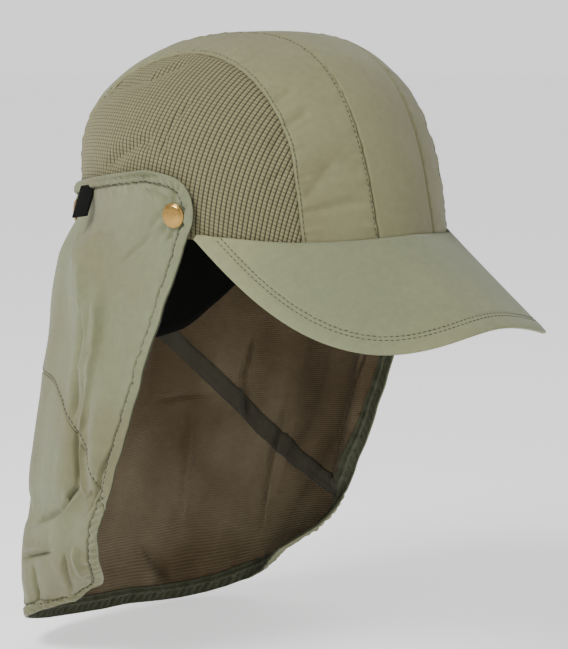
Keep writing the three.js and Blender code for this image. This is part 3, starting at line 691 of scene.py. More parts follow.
def weave_effect():
    """Crossing threads on cloth coordinates: a height, and a painted shade that is darker between threads."""
    if "Weave" in bpy.data.node_groups:
        return bpy.data.node_groups["Weave"]
    given_values = [
        ("Cloth", VECTOR, None),
        ("Across", NUMBER, 2000.0),
        ("Along", NUMBER, 2000.0),
        ("Slub", NUMBER, 0.3),
        ("Rows", NUMBER, 0.0),
        ("Contrast", NUMBER, 0.06),
    ]
    group, given, result = effect("Weave", given_values, [("Height", NUMBER), ("Shade", NUMBER)])
    given = given.outputs
    parts = node(group, "ShaderNodeSeparateXYZ", (-700, 0), {0: given["Cloth"]}).outputs
    waves = []
    for k, (axis, count) in enumerate((("X", "Across"), ("Y", "Along"))):
        turns = calculate(group, "MULTIPLY", (-500, -200 * k), parts[axis], given[count])
        angle = calculate(group, "MULTIPLY", (-350, -200 * k), turns, 2 * math.pi)
        waves.append(calculate(group, "SINE", (-200, -200 * k), angle))
    cross = calculate(group, "MULTIPLY", (0, 0), *waves)
    slub = noise(group, (-200, -450), given["Cloth"], Scale=SLUB_SCALE, Detail=2.0)
    uneven = calculate(group, "MULTIPLY", (0, -300), slub, given["Slub"])
    rows = calculate(group, "MULTIPLY", (0, 200), waves[1], given["Rows"])
    woven = calculate(group, "ADD", (150, 100), cross, rows)
    height = calculate(group, "ADD", (300, 0), woven, uneven)
    # Painted shade: the colour darkens where the threads and rows dip, with the slub's uneven tone.
    shade = calculate(group, "MULTIPLY_ADD", (450, -200), height, given["Contrast"], WOVEN_SHADE)
    group.links.new(height, result.inputs["Height"])
    group.links.new(shade, result.inputs["Shade"])
    return group


def tone_effect():
    """Slow drift of a cloth's colour between two tones, with fine mottling."""
    if "Tone" in bpy.data.node_groups:
        return bpy.data.node_groups["Tone"]
    given_values = [
        ("Colour", COLOUR, WHITE),
        ("Drift", COLOUR, WHITE),
        ("Shade", NUMBER, 1.0),
        ("Size", NUMBER, 14.0),
    ]
    group, given, result = effect("Tone", given_values, [("Colour", COLOUR), ("Mottle", NUMBER)])
    given = given.outputs
    place = node(group, "ShaderNodeTexCoord", (-900, -300)).outputs["Object"]
    drift = noise(group, (-600, -200), place, Scale=given["Size"], Detail=3.0, Roughness=0.45)
    share = ramp(group, (-400, -200), drift, DRIFT_RANGE, interpolation_type="SMOOTHSTEP")
    colour = blended(group, (-150, 0), share, given["Colour"], given["Drift"])
    fine = noise(group, (-400, -500), place, Scale=MOTTLE_SCALE, Detail=4.0)
    mottle = ramp(group, (-200, -500), fine, MOTTLE_RANGE, MOTTLE_SHADE)
    # Shade brings in the weave's painted shade between threads.
    both = calculate(group, "MULTIPLY", (0, -300), mottle, given["Shade"])
    inputs = {0: colour, "Scale": both}
    shaded = node(group, "ShaderNodeVectorMath", (200, 0), inputs, operation="SCALE")
    group.links.new(shaded.outputs[0], result.inputs["Colour"])
    group.links.new(fine, result.inputs["Mottle"])
    return group


def put(tree, group, place, **values):
    """Outputs of a node group placed in a material with its own values."""
    return node(tree, "ShaderNodeGroup", place, values, node_tree=group).outputs


def rgba(colour):
    """A colour with full alpha."""
    return (*colour, 1.0)


def bare_material(name, roughness, sheen=0.0, metallic=0.0, specular=0.5):
    """A material with a shader, as (material, tree, shader)."""
    made = bpy.data.materials.new(name)
    made.use_nodes = True
    tree = made.node_tree
    shader = tree.nodes["Principled BSDF"]
    shader.inputs["Roughness"].default_value = roughness
    shader.inputs["Metallic"].default_value = metallic
    shader.inputs["Specular IOR Level"].default_value = specular
    shader.inputs["Sheen Weight"].default_value = sheen
    shader.inputs["Sheen Roughness"].default_value = 0.45
    return made, tree, shader


def cloth_material(
    name, colour, drift, pitch, roughness=0.72, sheen=0.15, size=14.0, wrinkle=0.0006, specular=0.35, **more
):
    """Plain-woven cloth on cloth coordinates."""
    made, tree, shader = bare_material(name, roughness, sheen, 0.0, specular)
    cloth = node(tree, "ShaderNodeUVMap", (-900, 0), uv_map="Cloth").outputs[0]
    count = 1 / pitch
    weave = put(tree, weave_effect(), (-700, 0), Cloth=cloth, Across=count, Along=count, **more)
    colours = {"Colour": rgba(colour), "Drift": rgba(drift)}
    tone = put(tree, tone_effect(), (-450, 100), **colours, Size=size, Shade=weave["Shade"])
    tree.links.new(tone["Colour"], shader.inputs["Base Color"])
    place = node(tree, "ShaderNodeTexCoord", (-900, -600)).outputs["Object"]
    uneven = noise(tree, (-700, -600), place, Scale=WRINKLE_SCALE, Detail=4.0, Distortion=0.8)
    wrinkles = raised(tree, (-500, -500), uneven, WRINKLE_STRENGTH, wrinkle)
    relief = raised(tree, (-300, -300), weave["Height"], WEAVE_STRENGTH, pitch / 4, Normal=wrinkles)
    tree.links.new(relief, shader.inputs["Normal"])
    return made


def mesh_material(name, colours):
    """Ribbed mesh: threads on ribs and rungs, painted shade in the gaps, on cloth coordinates in cells."""
    made, tree, shader = bare_material(name, 0.85, 0.08)
    cells = node(tree, "ShaderNodeUVMap", (-1500, 0), uv_map="Cloth").outputs[0]
    parts = node(tree, "ShaderNodeSeparateXYZ", (-1300, 0), {0: cells}).outputs
    masks = []
    for k, (axis, thread_range, least) in enumerate(SHADED_MESH_GAPS):
        nearest = calculate(tree, "PINGPONG", (-1100, -200 * k), parts[axis], 0.5)
        place = (-900, -200 * k)
        masks.append(ramp(tree, place, nearest, thread_range, (least, 1.0), interpolation_type="SMOOTHSTEP"))
    thread = calculate(tree, "MULTIPLY", (-700, 0), *masks)
    # Painted shade: the gaps take the dark colour, the threads the light one.
    colour = blended(tree, (-500, 0), thread, rgba(colours.mesh_gap_shade), rgba(colours.mesh))
    tone = put(tree, tone_effect(), (-300, 100), Colour=colour, Drift=colour, Size=18.0)
    tree.links.new(tone["Colour"], shader.inputs["Base Color"])
    relief = raised(tree, (-300, -300), thread, 0.6, 0.0003)
    tree.links.new(relief, shader.inputs["Normal"])
    return made


def thread_material(name, colours):
    """Sewing thread."""
    made, tree, shader = bare_material(name, 0.7, 0.1)
    colour = rgba(colours.thread)
    tone = put(tree, tone_effect(), (-300, 100), Colour=colour, Drift=colour, Size=60.0)
    tree.links.new(tone["Colour"], shader.inputs["Base Color"])
    return made


def brass_material(name, colours):
    """Satin brass with fine scratches and duller patches."""
    made, tree, shader = bare_material(name, 0.24, 0.0, 1.0)
    colour, dull = rgba(colours.brass), rgba(BRASS_DULLING * part for part in colours.brass)
    tone = put(tree, tone_effect(), (-500, 100), Colour=colour, Drift=dull, Size=220.0)
    tree.links.new(tone["Colour"], shader.inputs["Base Color"])
    rough = ramp(tree, (-250, -150), tone["Mottle"], MOTTLE_RANGE, BRASS_ROUGHNESS)
    tree.links.new(rough, shader.inputs["Roughness"])
    relief = raised(tree, (-250, -400), tone["Mottle"], 0.15, 0.00005)
    tree.links.new(relief, shader.inputs["Normal"])
    return made


# Colour and the one it drifts to, pitch of the threads in weave pitches, and what else a cloth has of its own
CLOTH_LOOKS = {
    "Woven cloth": ("woven", "woven_warm", 1.0, {"size": 11.0}),
    "Peak cloth": ("peak", "flap", 1.0, {"size": 5.0, "wrinkle": 0.00008}),
    "Flap cloth": ("flap", "flap_warm", 1.0, {"size": 16.0}),
    "Flap inside": (
        "lining", "lining_warm", 2.4, {"roughness": 0.85, "sheen": 0.05, "Rows": 0.9, "Contrast": 0.16}
    ),
    "Peak underside": ("under", "under", 1.0, {"roughness": 0.8, "sheen": 0.05}),
    # The tape's dark colour is painted shade inside the flap.
    "Seam tape": ("tape", "tape", 1.4, {"roughness": 0.75, "sheen": 0.1, "Rows": 0.6}),
    # The hem's dark colour is painted shade inside the flap.
    "Hem inside": ("hem", "hem", 1.4, {"roughness": 0.8, "sheen": 0.08, "Rows": 0.6}),
    # Near-black: black cloth, and painted shade of the crown's hollow on the sweatband.
    "Black cloth": ("black", "black", 1.6, {"roughness": 0.9, "sheen": 0.02, "specular": 0.12}),
}
OTHER_LOOKS = {"Crown mesh": mesh_material, "Thread": thread_material, "Brass": brass_material}


def finish(name):
    """One of the cap's materials, made when it is first asked for."""
    if name in bpy.data.materials:
        return bpy.data.materials[name]
    colours = bpy.context.scene.sun_cap_colours
    if name in OTHER_LOOKS:
        return OTHER_LOOKS[name](name, colours)
    colour, drift, pitches, more = CLOTH_LOOKS[name]
    pitch = pitches * bpy.context.scene.sun_cap_sizes.weave
    return cloth_material(name, getattr(colours, colour), getattr(colours, drift), pitch, **more)


# Crown


def seam_span(aside_at):
    """Angles over the head at which a line, given its sideways angle, meets the rim before and behind."""

    def above(over):
        return above_rim(over_direction(over, aside_at(over)))

    return bisect(above, *FRONT_ENDS), bisect(lambda over: -above(over), *BACK_ENDS)


def strip_edges(side):
    """Sideways angles of a crown strip's edges, the inner one first. Side 0 is the middle strip."""
    if side == 0:
        return (lambda over: -inner_seam(over)), inner_seam
    return (lambda over: side * inner_seam(over)), (lambda over: side * outer_seam(over))


# How much a strip's rows crowd to its edges, and the radius that its length is measured on
STRIP_CROWDING, STRIP_RADIUS = 0.75, 100
STRIP_EDGE, TOPSTITCH_ROLL, TOPSTITCH_GROOVE = (-1.1, 0.6), (0.4, 0.5), (-0.4, 0.4)
TOPSTITCH_ROLL_SHARE = 0.55
STRIP_PUCKERS, MIDDLE_PUCKERS = (0.5, 9.0, 2, 5), (0.12, 11.0, 2, 4)
STRIP_WAVE, STRIP_WAVELENGTH, STRIP_WAVE_SLANT = 0.5, 46.0, 0.4


def strip_piece(side):
    """One woven strip over the head, with its edges turned down into the seams."""
    low, high = strip_edges(side)
    bm, u, v = grid(*STRIP_GRID)
    v = mix(v, 0.5 - 0.5 * np.cos(np.pi * v), STRIP_CROWDING)
    spans = {}
    for value in np.unique(v.round(6)):
        spans[value] = seam_span(lambda over: mix(low(over), high(over), value))
    ends = np.array([spans[value] for value in v.round(6)])
    over = mix(ends[:, 0], ends[:, 1], u)
    direction = over_direction(over, mix(low(over), high(over), v))
    points, normals = crown_along(direction), crown_facing(direction)
    width = np.abs(high(over) - low(over)) * DEGREE * np.linalg.norm(undress(points), axis=-1)
    along = (over - 90) * DEGREE * STRIP_RADIUS
    edge = np.minimum(v, 1 - v) * width
    rise = fold_lines(points, normals, CROWN_FOLDS) + ridge(STRIP_EDGE, edge)
    if side != 0:
        inset = size_of("topstitch")
        rise += ridge(TOPSTITCH_ROLL, edge - TOPSTITCH_ROLL_SHARE * inset)
        rise += ridge(TOPSTITCH_GROOVE, edge - inset)
        rise += puckers(STRIP_PUCKERS, along, edge - inset, side)
    else:
        rise += puckers(MIDDLE_PUCKERS, along, edge, 2)
    wave = ripple(along + STRIP_WAVE_SLANT * v * width, STRIP_WAVELENGTH, side + 3)
    rise += STRIP_WAVE * wave * np.sin(np.pi * v)
    cloth = np.stack([along, v * width], -1) * MM
    solid = "crown_centre" if side == 0 else f"crown_strip_{SIDE_NAME[side]}"
    return make_piece(solid, "woven", bm, points, normals, rise, cloth)


# The mesh sides are cut from flat cloth whose ribs lean forwards as they climb. The cloth is laid on the
# right side from a direction that looks at the middle of the panel, and the left one mirrors it.
VIEW_TILT, RIB_LEAN = 22 * DEGREE, 8 * DEGREE
PANEL_OUT = np.array([-math.cos(VIEW_TILT), 0, math.sin(VIEW_TILT)])
PANEL_UP = np.array([math.sin(VIEW_TILT), 0, math.cos(VIEW_TILT)])
FORWARD = np.array([0.0, -1.0, 0.0])
RIB_WAY = math.cos(RIB_LEAN) * PANEL_UP + math.sin(RIB_LEAN) * FORWARD
RUNG_WAY = math.cos(RIB_LEAN) * FORWARD - math.sin(RIB_LEAN) * PANEL_UP
# Lines along which the cloth is measured on the rungs' way and the ribs' way, and its reach up the ribs
P_LINE, Q_LINE, MIDDLE_ROW, RIB_REACH = np.linspace(-118, 96, 215), np.linspace(-88, 84, 87), 25.0, (-92, 88)
# Places of a rib's columns in its cell, then how much of a cell a gap and a line between rungs slope over
RIB_COLUMNS, GAP_SHARE, LINE_SHARE = (0, 0.22, 0.78), 0.22, 0.5
PANEL_LAP, PANEL_SINK, PANEL_EDGE, PANEL_PUCKERS = 0.5, 0.5, (-0.8, 1.1), (0.3, 16.0, 3, 5)
# How far the crown is searched for below the panel, and what stands for a place off the crown
PANEL_SEARCH, NOWHERE = 140, -50.0


def panel_point(p, q):
    """Points of the crown's right side along the rungs' way and the ribs' way, and if they are there."""
    base = p[..., None] * RUNG_WAY + q[..., None] * RIB_WAY

    def outside(reach):
        x, y, z = np.moveaxis(undress(base + reach[..., None] * PANEL_OUT), -1, 0)
        return plan_size(x, y) ** DOME_POWER + dome_rise(z) - 1

    start = np.zeros(p.shape)
    reach = bisect(outside, start, start + PANEL_SEARCH, 26)
    return base + reach[..., None] * PANEL_OUT, outside(start) < 0


def lengths_along(points):
    """Length along rows of points, from their first."""
    steps = np.linalg.norm(np.diff(points, axis=-2), axis=-1)
    return np.concatenate([np.zeros(steps.shape[:-1] + (1,)), np.cumsum(steps, -1)], -1)


def panel_inside(points, hit):
    """How far inside the mesh side's outline and inside its upper seam each point is, in millimetres."""
    plain = undress(points)
    size = np.linalg.norm(plain, axis=-1)
    direction = plain / size[..., None]
    aside = np.arcsin(np.clip(np.abs(direction[..., 0]), 0, 1)) / DEGREE
    over = np.arctan2(direction[..., 2], -direction[..., 1]) / DEGREE
    over = np.where(over < -90, over + 360, over)
    from_seam = (aside - outer_seam(over)) * DEGREE * size
    return np.where(hit, np.minimum(from_seam, above_rim(direction)), NOWHERE), from_seam


def mesh_piece(side):
    """One mesh side, its ribs and rungs standing in relief."""
    rib, rung = size_of("rib_pitch"), size_of("rung_pitch")
    middle, _ = panel_point(P_LINE, np.full(P_LINE.shape, MIDDLE_ROW))
    s_line = lengths_along(middle)
    s_line -= np.interp(0, P_LINE, s_line)
    ribs = [int(end // rib) for end in (s_line[0], s_line[-1])]
    rungs = [int(end // rung) for end in RIB_REACH]
    columns, rows = 3 * (ribs[1] - ribs[0]), 2 * (rungs[1] - rungs[0])
    bm, u, v = grid(columns, rows)
    i, j = np.rint(u * columns), np.rint(v * rows)
    s_cell = ribs[0] + i // 3 + np.choose((i % 3).astype(int), RIB_COLUMNS)
    t_cell = rungs[0] + j / 2

    p_columns = np.unique(np.interp(s_cell * rib, s_line, P_LINE))
    climb = lengths_along(panel_point(*np.meshgrid(p_columns, Q_LINE, indexing="ij"))[0])
    starts = [np.interp(MIDDLE_ROW, Q_LINE, lengths) for lengths in climb]

    def climbed(t_cell, column):
        """Place along the ribs' way of each cell, in the columns given."""
        pairs = zip(t_cell, column)
        return np.array([np.interp(t * rung + starts[k], climb[k], Q_LINE) for t, k in pairs])

    def laid(s_cell, t_cell):
        """Points of the panel at places of the cloth, and if they are there."""
        p = np.interp(s_cell * rib, s_line, P_LINE)
        column = np.interp(p, p_columns, np.arange(len(p_columns)))
        before = np.clip(column.astype(int), 0, len(p_columns) - 2)
        share = column - before
        return panel_point(p, mix(climbed(t_cell, before), climbed(t_cell, before + 1), share))

    inside, _ = panel_inside(*laid(s_cell, t_cell))
    s_cell, t_cell = trim(bm, s_cell, t_cell, inside + PANEL_LAP)
    points, hit = laid(s_cell, t_cell)
    _, from_seam = panel_inside(points, hit)
    normals = crown_facing(unit(undress(points)))
    mirror = np.array([-side, 1, 1])
    rise = fold_lines(points * mirror, normals * mirror, CROWN_FOLDS)
    rise += ridge(PANEL_EDGE, np.maximum(from_seam, 0)) - PANEL_SINK
    rise += puckers(PANEL_PUCKERS, t_cell * rung, from_seam, 5)
    gap = 1 - smooth(np.abs((s_cell + 0.5) % 1 - 0.5) / GAP_SHARE)
    line = 1 - smooth(np.abs((t_cell + 0.5) % 1 - 0.5) / LINE_SHARE)
    rise -= size_of("rib_depth") * gap + size_of("rung_depth") * line
    cloth = np.stack([s_cell, t_cell], -1)
    solid = f"crown_mesh_{SIDE_NAME[side]}"
    return make_piece(solid, "mesh", bm, points * mirror, normals * mirror, rise, cloth)


# How far inside the crown the band lies, and the radius in millimetres for a degree round it
BAND_INSET, BAND_DEGREE, BAND_HEIGHT, BAND_EDGE = 2.8, 1.6, 38, (-0.5, 0.8)
BAND_WAVE, BAND_WAVELENGTH = 0.25, 13.0


def sweatband_piece():
    """Black band inside the crown's lower edge, its near-black partly painted shade of the crown's hollow."""
    bm, u, v = grid(*BAND_GRID)
    angle = mix(-180, 180, u)
    turn = np.abs(angle)
    points = crown_at(angle, mix(rim_height(turn) - PEAK_OVERLAP, band_top(turn), v))
    step = 0.05
    around = crown_at(angle + step, points[:, 2]) - crown_at(angle - step, points[:, 2])
    normals = unit(np.cross(around, [[0.0, 0.0, 1.0]]))
    normals *= np.sign((normals * outwards(angle)).sum(-1, keepdims=True))
    along = angle * BAND_DEGREE
    edge = np.minimum(v, 1 - v) * BAND_HEIGHT
    rise = ridge(BAND_EDGE, edge) + BAND_WAVE * ripple(along, BAND_WAVELENGTH) * v - BAND_INSET
    cloth = np.stack([along, points[:, 2] + rise * normals[:, 2]], -1) * MM
    return make_piece("sweatband", "band", bm, points, normals, rise, cloth, merge=True)


# Peak


def along_line(points, share):
    """Points at shares of the way along a line, by length."""
    length = lengths_along(points)
    at = np.clip(share, 0, 1) * length[-1]
    return np.stack([np.interp(at, length, points[:, k]) for k in range(points.shape[1])], -1)


def peak_height(x, y):
    """Height of the peak's arched surface."""
    return PEAK_ROOT_HEIGHT + PEAK_SLOPE * (y + FRONT_REACH) - x * x / (2 * PEAK_ARCH)


def peak_point(u, v):
    """Point of the peak's top, by shares from the wearer's right end and from the crown to the edge."""
    angle = np.linspace(-PEAK_END_ANGLE, PEAK_END_ANGLE, 121)
    root = crown_at(angle, rim_height(np.abs(angle))) + outwards(angle) * PEAK_ROOT_GAP
    root = along_line(root, u)
    turn = np.linspace(-90, 90, 241) * DEGREE
    edge_x = PEAK_HALF_WIDTH * np.sign(turn) * np.abs(np.sin(turn)) ** PEAK_POWER
    edge_y = -PEAK_ROOT_BACK - PEAK_LENGTH * np.abs(np.cos(turn)) ** PEAK_POWER
    edge = along_line(np.stack([edge_x, edge_y, 0 * turn], -1), u)
    flat = root * [1, 1, 0]
    short = np.linalg.norm(flat - edge, axis=-1) < PEAK_END_WIDTH
    edge = np.where(short[:, None], flat + unit(flat) * PEAK_END_WIDTH, edge)
    x, y = mix(root[:, 0], edge[:, 0], v), mix(root[:, 1], edge[:, 1], v)
    settle = root[:, 2] - peak_height(root[:, 0], root[:, 1])
    return np.stack([x, y, peak_height(x, y) + settle * (1 - v) ** 2], -1)


def facing(surface, u, v):
    """Normal of a surface given by two shares."""
    step = 1e-3
    across = surface(u + step, v) - surface(u - step, v)
    down = surface(u, v + step) - surface(u, v - step)
    return unit(np.cross(across, down))


def edge_distance(points, boundary):
    """Distance of each point from a line, and the length along the line to its nearest place."""
    tree = KDTree(len(boundary))
    for k, place in enumerate(boundary):
        tree.insert(place, k)
    tree.balance()
    nearest = np.array([tree.find(point)[1] for point in points])
    length = lengths_along(boundary)
    distance, along = np.full(len(points), np.inf), np.zeros(len(points))
    for first in (np.maximum(nearest - 1, 0), np.minimum(nearest, len(boundary) - 2)):
        start = boundary[first]
        line = boundary[first + 1] - start
        share = ((points - start) * line).sum(-1) / np.maximum((line * line).sum(-1), 1e-9)
        share = np.clip(share, 0, 1)
        away = np.linalg.norm(points - start - share[:, None] * line, axis=-1)
        along = np.where(away < distance, mix(length[first], length[first + 1], share), along)
        distance = np.minimum(distance, away)
    return distance, along


def inset_line(points, normals, inset):
    """A line moved inwards on its surface, and where it isn't in a loop that a corner makes."""
    across = unit(np.cross(normals, np.gradient(points, axis=0)))
    moved = points + across * inset
    distance, _ = edge_distance(moved, points)
    return moved, distance > inset - 0.3


# How much the peak's rows crowd to its edge, the grooves under its topstitching, the padding outside them
PEAK_CROWDING, PEAK_GROOVES, PEAK_PADDING, PADDING_INSET = 0.6, ((-0.4, 0.55), (-0.2, 0.55)), (0.25, 3), 4.5
PEAK_ROUNDING, PEAK_PUCKERS = (-0.5, 1.6), (0.06, 8.0, 5, 3)


def peak_piece():
    """Stiff peak: a padded wall with a rounded edge, grooves under its stitching and a dark underside."""
    bm, u, v = grid(*PEAK_GRID)
    v = mix(v, 1 - (1 - v) ** 2, PEAK_CROWDING)
    points = peak_point(u, v)
    normals = -facing(peak_point, np.clip(u, 0.004, 0.996), np.clip(v, 0.01, 0.99))
    normals *= np.sign(normals[:, 2:])
    line = np.linspace(0, 1, 700)
    distance, along = edge_distance(points, peak_point(line, 0 * line + 1))
    rise = sum(ridge(groove, distance - inset) for groove, inset in zip(PEAK_GROOVES, PEAK_STITCHES))
    rise += ridge(PEAK_PADDING, distance - PADDING_INSET) + puckers(PEAK_PUCKERS, along, distance)
    rise += rounding(PEAK_ROUNDING, distance)
    cloth = (points + normals * rise[:, None])[:, :2] * MM
    return make_piece("peak", "peak", bm, points, normals, rise, cloth)


# Neck flap

flap_curves = {name: curve_through(FLAP, "share", name) for name in FLAP if name != "share"}
FLAP_STEPS = 300


def flap_section_line(section, arounds):
    """Plan points of half of a flap section at shares of its length from the middle of the back."""
    turn = np.linspace(0, 1, 37) * np.pi / 2
    power = 2 / FLAP_CORNER_POWER
    back_x = section["wide"] * np.sin(turn) ** power
    back_y = mix(section["wide_y"], section["back_y"], np.maximum(np.cos(turn), 0) ** power)
    share = np.linspace(0, 1, 15)[1:]
    side_x = section["wide"] - (section["wide"] - section["front_x"]) * share**2
    side_y = mix(section["wide_y"], section["front_y"], share)
    line = np.stack([np.concatenate([back_x, side_x]), np.concatenate([back_y, side_y])], -1)
    return along_line(line, arounds)


def flap_half(side):
    """Points and normals of half of the flap's outer face, in rows down it and columns round it."""
    shares = np.linspace(0, 1, FLAP_STEPS + 1)
    climb = (np.hypot(shares, BACK_EASE) - BACK_EASE) / (math.hypot(1, BACK_EASE) - BACK_EASE)
    rows = []
    for down in shares:
        section = {name: float(curve(down)) for name, curve in flap_curves.items()}
        ease = min(section["ease"], RIGHT_EASE) if side == RIGHT else section["ease"]
        dip = section["dip"] * np.sin(np.pi * shares) ** 2
        z = mix(section["back"], section["front"], climb**ease) - dip
        free = np.column_stack([flap_section_line(section, shares), z])
        if section["hug"] > 0:
            front = bisect(
                lambda angle: crown_at(angle, section["front"])[..., 1] - section["front_y"], 0, 179
            )
            angle = mix(180, front, shares)
            hugging = crown_at(angle, z) + outwards(angle) * FLAP_STANDOFF
            free = mix(free, hugging, section["hug"])
        rows.append(free * [side, 1, 1])
    points = np.array(rows)

    def normals_of(place):
        around, down = np.gradient(place, axis=1), np.gradient(place, axis=0)
        return unit(np.cross(around, down)) * side

    at = np.stack(np.meshgrid(shares * FLAP_ROUND, shares * FLAP_DOWN), -1)
    points = points + normals_of(points) * folds_on_flap(at, side, FLAP_FOLDS)[..., None]
    return points, normals_of(points)


def folds_on_flap(at, side, folds, fine=False):
    """Height of the folds at places given in millimetres round and down one half of the flap."""
    ridges, valleys = np.zeros(at.shape[:-1]), np.zeros(at.shape[:-1])
    size = np.array([FLAP_ROUND, FLAP_DOWN])
    for k in np.flatnonzero(folds["side"] == side):
        start = np.array([folds["around"][k], folds["down"][k]]) * size
        line = np.array([folds["to_around"][k], folds["to_down"][k]]) * size - start
        share = ((at - start) @ line) / (line @ line)
        nearest = share if fine else np.clip(share, 0, 1)
        distance = np.linalg.norm(at - start - nearest[..., None] * line, axis=-1)
        width = folds["width"][k]
        rise = folds["rise"][k] * (crease(share, distance, width) if fine else bump_at(distance, width))
        ridges, valleys = np.maximum(ridges, rise), np.minimum(valleys, rise)
    return ridges + valleys


flap_tables = {}


def flap_face(turn, down):
    """Points and normals of the flap's outer face. turn goes from -1 in front on the right to 1."""
    turn, down = np.asarray(turn, float), np.asarray(down, float)
    points, normals = np.zeros(turn.shape + (3,)), np.zeros(turn.shape + (3,))
    for side in (RIGHT, LEFT):
        if side not in flap_tables:
            flap_tables[side] = flap_half(side)
        here = (turn < 0) == (side == RIGHT)
        around = np.clip(np.abs(turn[here]), 0, 1)
        wave = 0.5 + 0.5 * ripple(down[here] * FLAP_DOWN, EDGE_WAVELENGTH, 1.7 + side)
        near_edge = smooth((around - EDGE_WAVE_START) / (1 - EDGE_WAVE_START))
        column = (around - EDGE_WAVE / FLAP_ROUND * wave * near_edge) * FLAP_STEPS
        row = np.clip(down[here], 0, 1) * FLAP_STEPS
        i = np.minimum(column.astype(int), FLAP_STEPS - 1)
        j = np.minimum(row.astype(int), FLAP_STEPS - 1)
        a, b = (column - i)[:, None], (row - j)[:, None]
        for values, result in zip(flap_tables[side], (points, normals)):
            upper = mix(values[j, i], values[j, i + 1], a)
            lower = mix(values[j + 1, i], values[j + 1, i + 1], a)
            result[here] = mix(upper, lower, b)
    return points, unit(normals)


def seam_down(turn):
    """Share of the way down of the flap's slanting seam."""
    return np.where(turn < 0, seam_curves[RIGHT](-turn), seam_curves[LEFT](turn))


def hem_down(turn):
    """Share of the way down of the flap's bottom edge, rounded at the front corners."""
    corner = smooth((np.abs(turn) - CORNER_START) / (1 - CORNER_START))
    return 1 - CORNER_ROUNDING / FLAP_DOWN * corner


def slant(turn):
    """Length down the flap that a millimetre square to the seam takes."""
    step = 0.02
    fall = (seam_down(turn + step) - seam_down(turn - step)) * FLAP_DOWN
    return np.hypot(1, fall / (2 * step * FLAP_ROUND))


def beside_seam(turn, across):
    """Share of the way down at millimetres square to the slanting seam."""
    return seam_down(turn) + across * slant(turn) / FLAP_DOWN


def flap_boundary():
    """The flap's edge as turn and down, once round from the right top corner, about 0.5 mm apart."""
    top = np.linspace(-1, 1, 900)
    side = np.linspace(0, 1, 460) * hem_down(1.0)
    turns = np.concatenate([top, 0 * side + 1, top[::-1], 0 * side - 1])
    downs = np.concatenate([0 * top, side, hem_down(top[::-1]), side[::-1]])
    return turns, downs


# Fine folds of the flap, as shares round and down, with half-width and rise in millimetres
FINE_FOLDS = table(
    "side around down to_around to_down width rise",
    (RIGHT, 0.869, 0.031, 0.881, 0.047, 1.1, -1.4),
    (RIGHT, 0.886, 0.038, 0.960, 0.070, 1.1, -1.4),
    (RIGHT, 0.892, 0.089, 0.857, 0.112, 1.4, -1.4),
    (RIGHT, 0.906, 0.120, 0.965, 0.150, 1.2, -1.4),
    (RIGHT, 0.649, 0.123, 0.727, 0.131, 2.2, -1.4),
    (RIGHT, 0.865, 0.137, 0.795, 0.187, 2.0, -1.4),
    (RIGHT, 0.510, 0.113, 0.654, 0.202, 3.4, 1.5),
    (RIGHT, 0.654, 0.202, 0.736, 0.341, 3.4, 3.6),
    (RIGHT, 0.745, 0.277, 0.793, 0.395, 3.8, 3.6),
    (RIGHT, 0.793, 0.395, 0.806, 0.451, 3.4, 3.1),
    (RIGHT, 0.806, 0.451, 0.793, 0.564, 3.4, 3.1),
    (RIGHT, 0.710, 0.300, 0.745, 0.430, 3.4, -3.6),
    (RIGHT, 0.745, 0.430, 0.760, 0.540, 3.8, -3.1),
    (RIGHT, 0.786, 0.589, 0.834, 0.705, 1.9, -3.1),
    (RIGHT, 0.834, 0.712, 0.796, 0.768, 2.6, -4.2),
    (RIGHT, 0.796, 0.768, 0.680, 0.790, 2.4, -3.9),
    (RIGHT, 0.810, 0.600, 0.870, 0.720, 4.2, 3.6),
    (RIGHT, 0.634, 0.876, 0.792, 0.865, 1.1, -3.0),
    (RIGHT, 0.640, 0.858, 0.780, 0.848, 2.2, 2.1),
    (RIGHT, 0.900, 0.720, 0.915, 0.745, 4.2, -3.1),
    (RIGHT, 0.960, 0.640, 0.930, 0.760, 2.5, -2.5),
    (RIGHT, 0.905, 0.860, 0.930, 0.930, 3.4, 3.0),
    (RIGHT, 0.870, 0.880, 0.880, 0.960, 2.5, -2.7),
    (RIGHT, 0.700, 0.900, 0.730, 0.970, 2.5, -2.3),
    (RIGHT, 0.100, 0.030, 0.120, 0.200, 4.2, 1.5),
    (RIGHT, 0.300, 0.030, 0.270, 0.180, 3.4, -1.4),
    (RIGHT, 0.200, 0.300, 0.240, 0.700, 7.6, 4.0),
    (RIGHT, 0.400, 0.250, 0.430, 0.520, 5.1, -3.4),
    (LEFT, 0.450, 0.440, 0.447, 0.540, 3.0, 4.0),
    (LEFT, 0.447, 0.540, 0.484, 0.620, 3.0, 4.0),
    (LEFT, 0.160, 0.560, 0.330, 0.565, 1.5, 2.5),
    (LEFT, 0.889, 0.480, 0.869, 0.608, 2.4, 4.3),
    (LEFT, 0.869, 0.608, 0.900, 0.790, 2.4, 4.3),
    (LEFT, 0.188, 0.907, 0.306, 0.957, 4.2, 5.9),
    (LEFT, 0.620, 0.620, 0.660, 0.880, 5.1, -3.6),
    (LEFT, 0.300, 0.640, 0.350, 0.860, 5.1, -3.4),
    (LEFT, 0.869, 0.031, 0.884, 0.050, 1.4, -1.1),
    (LEFT, 0.890, 0.040, 0.957, 0.074, 1.4, -1.2),
    (LEFT, 0.900, 0.092, 0.862, 0.118, 1.7, -1.4),
    (LEFT, 0.600, 0.120, 0.680, 0.260, 3.4, 2.4),
    (LEFT, 0.720, 0.180, 0.800, 0.360, 3.4, -2.3),
    (LEFT, 0.120, 0.040, 0.140, 0.210, 4.2, -1.4),
    (LEFT, 0.270, 0.030, 0.300, 0.190, 3.4, 1.4),
    (LEFT, 0.150, 0.250, 0.120, 0.520, 6.8, 3.6),
)
# Wave of the front edges: size, wavelength and share of the way round where it starts
EDGE_WAVE, EDGE_WAVELENGTH, EDGE_WAVE_START = 1.7, 30.0, 0.85
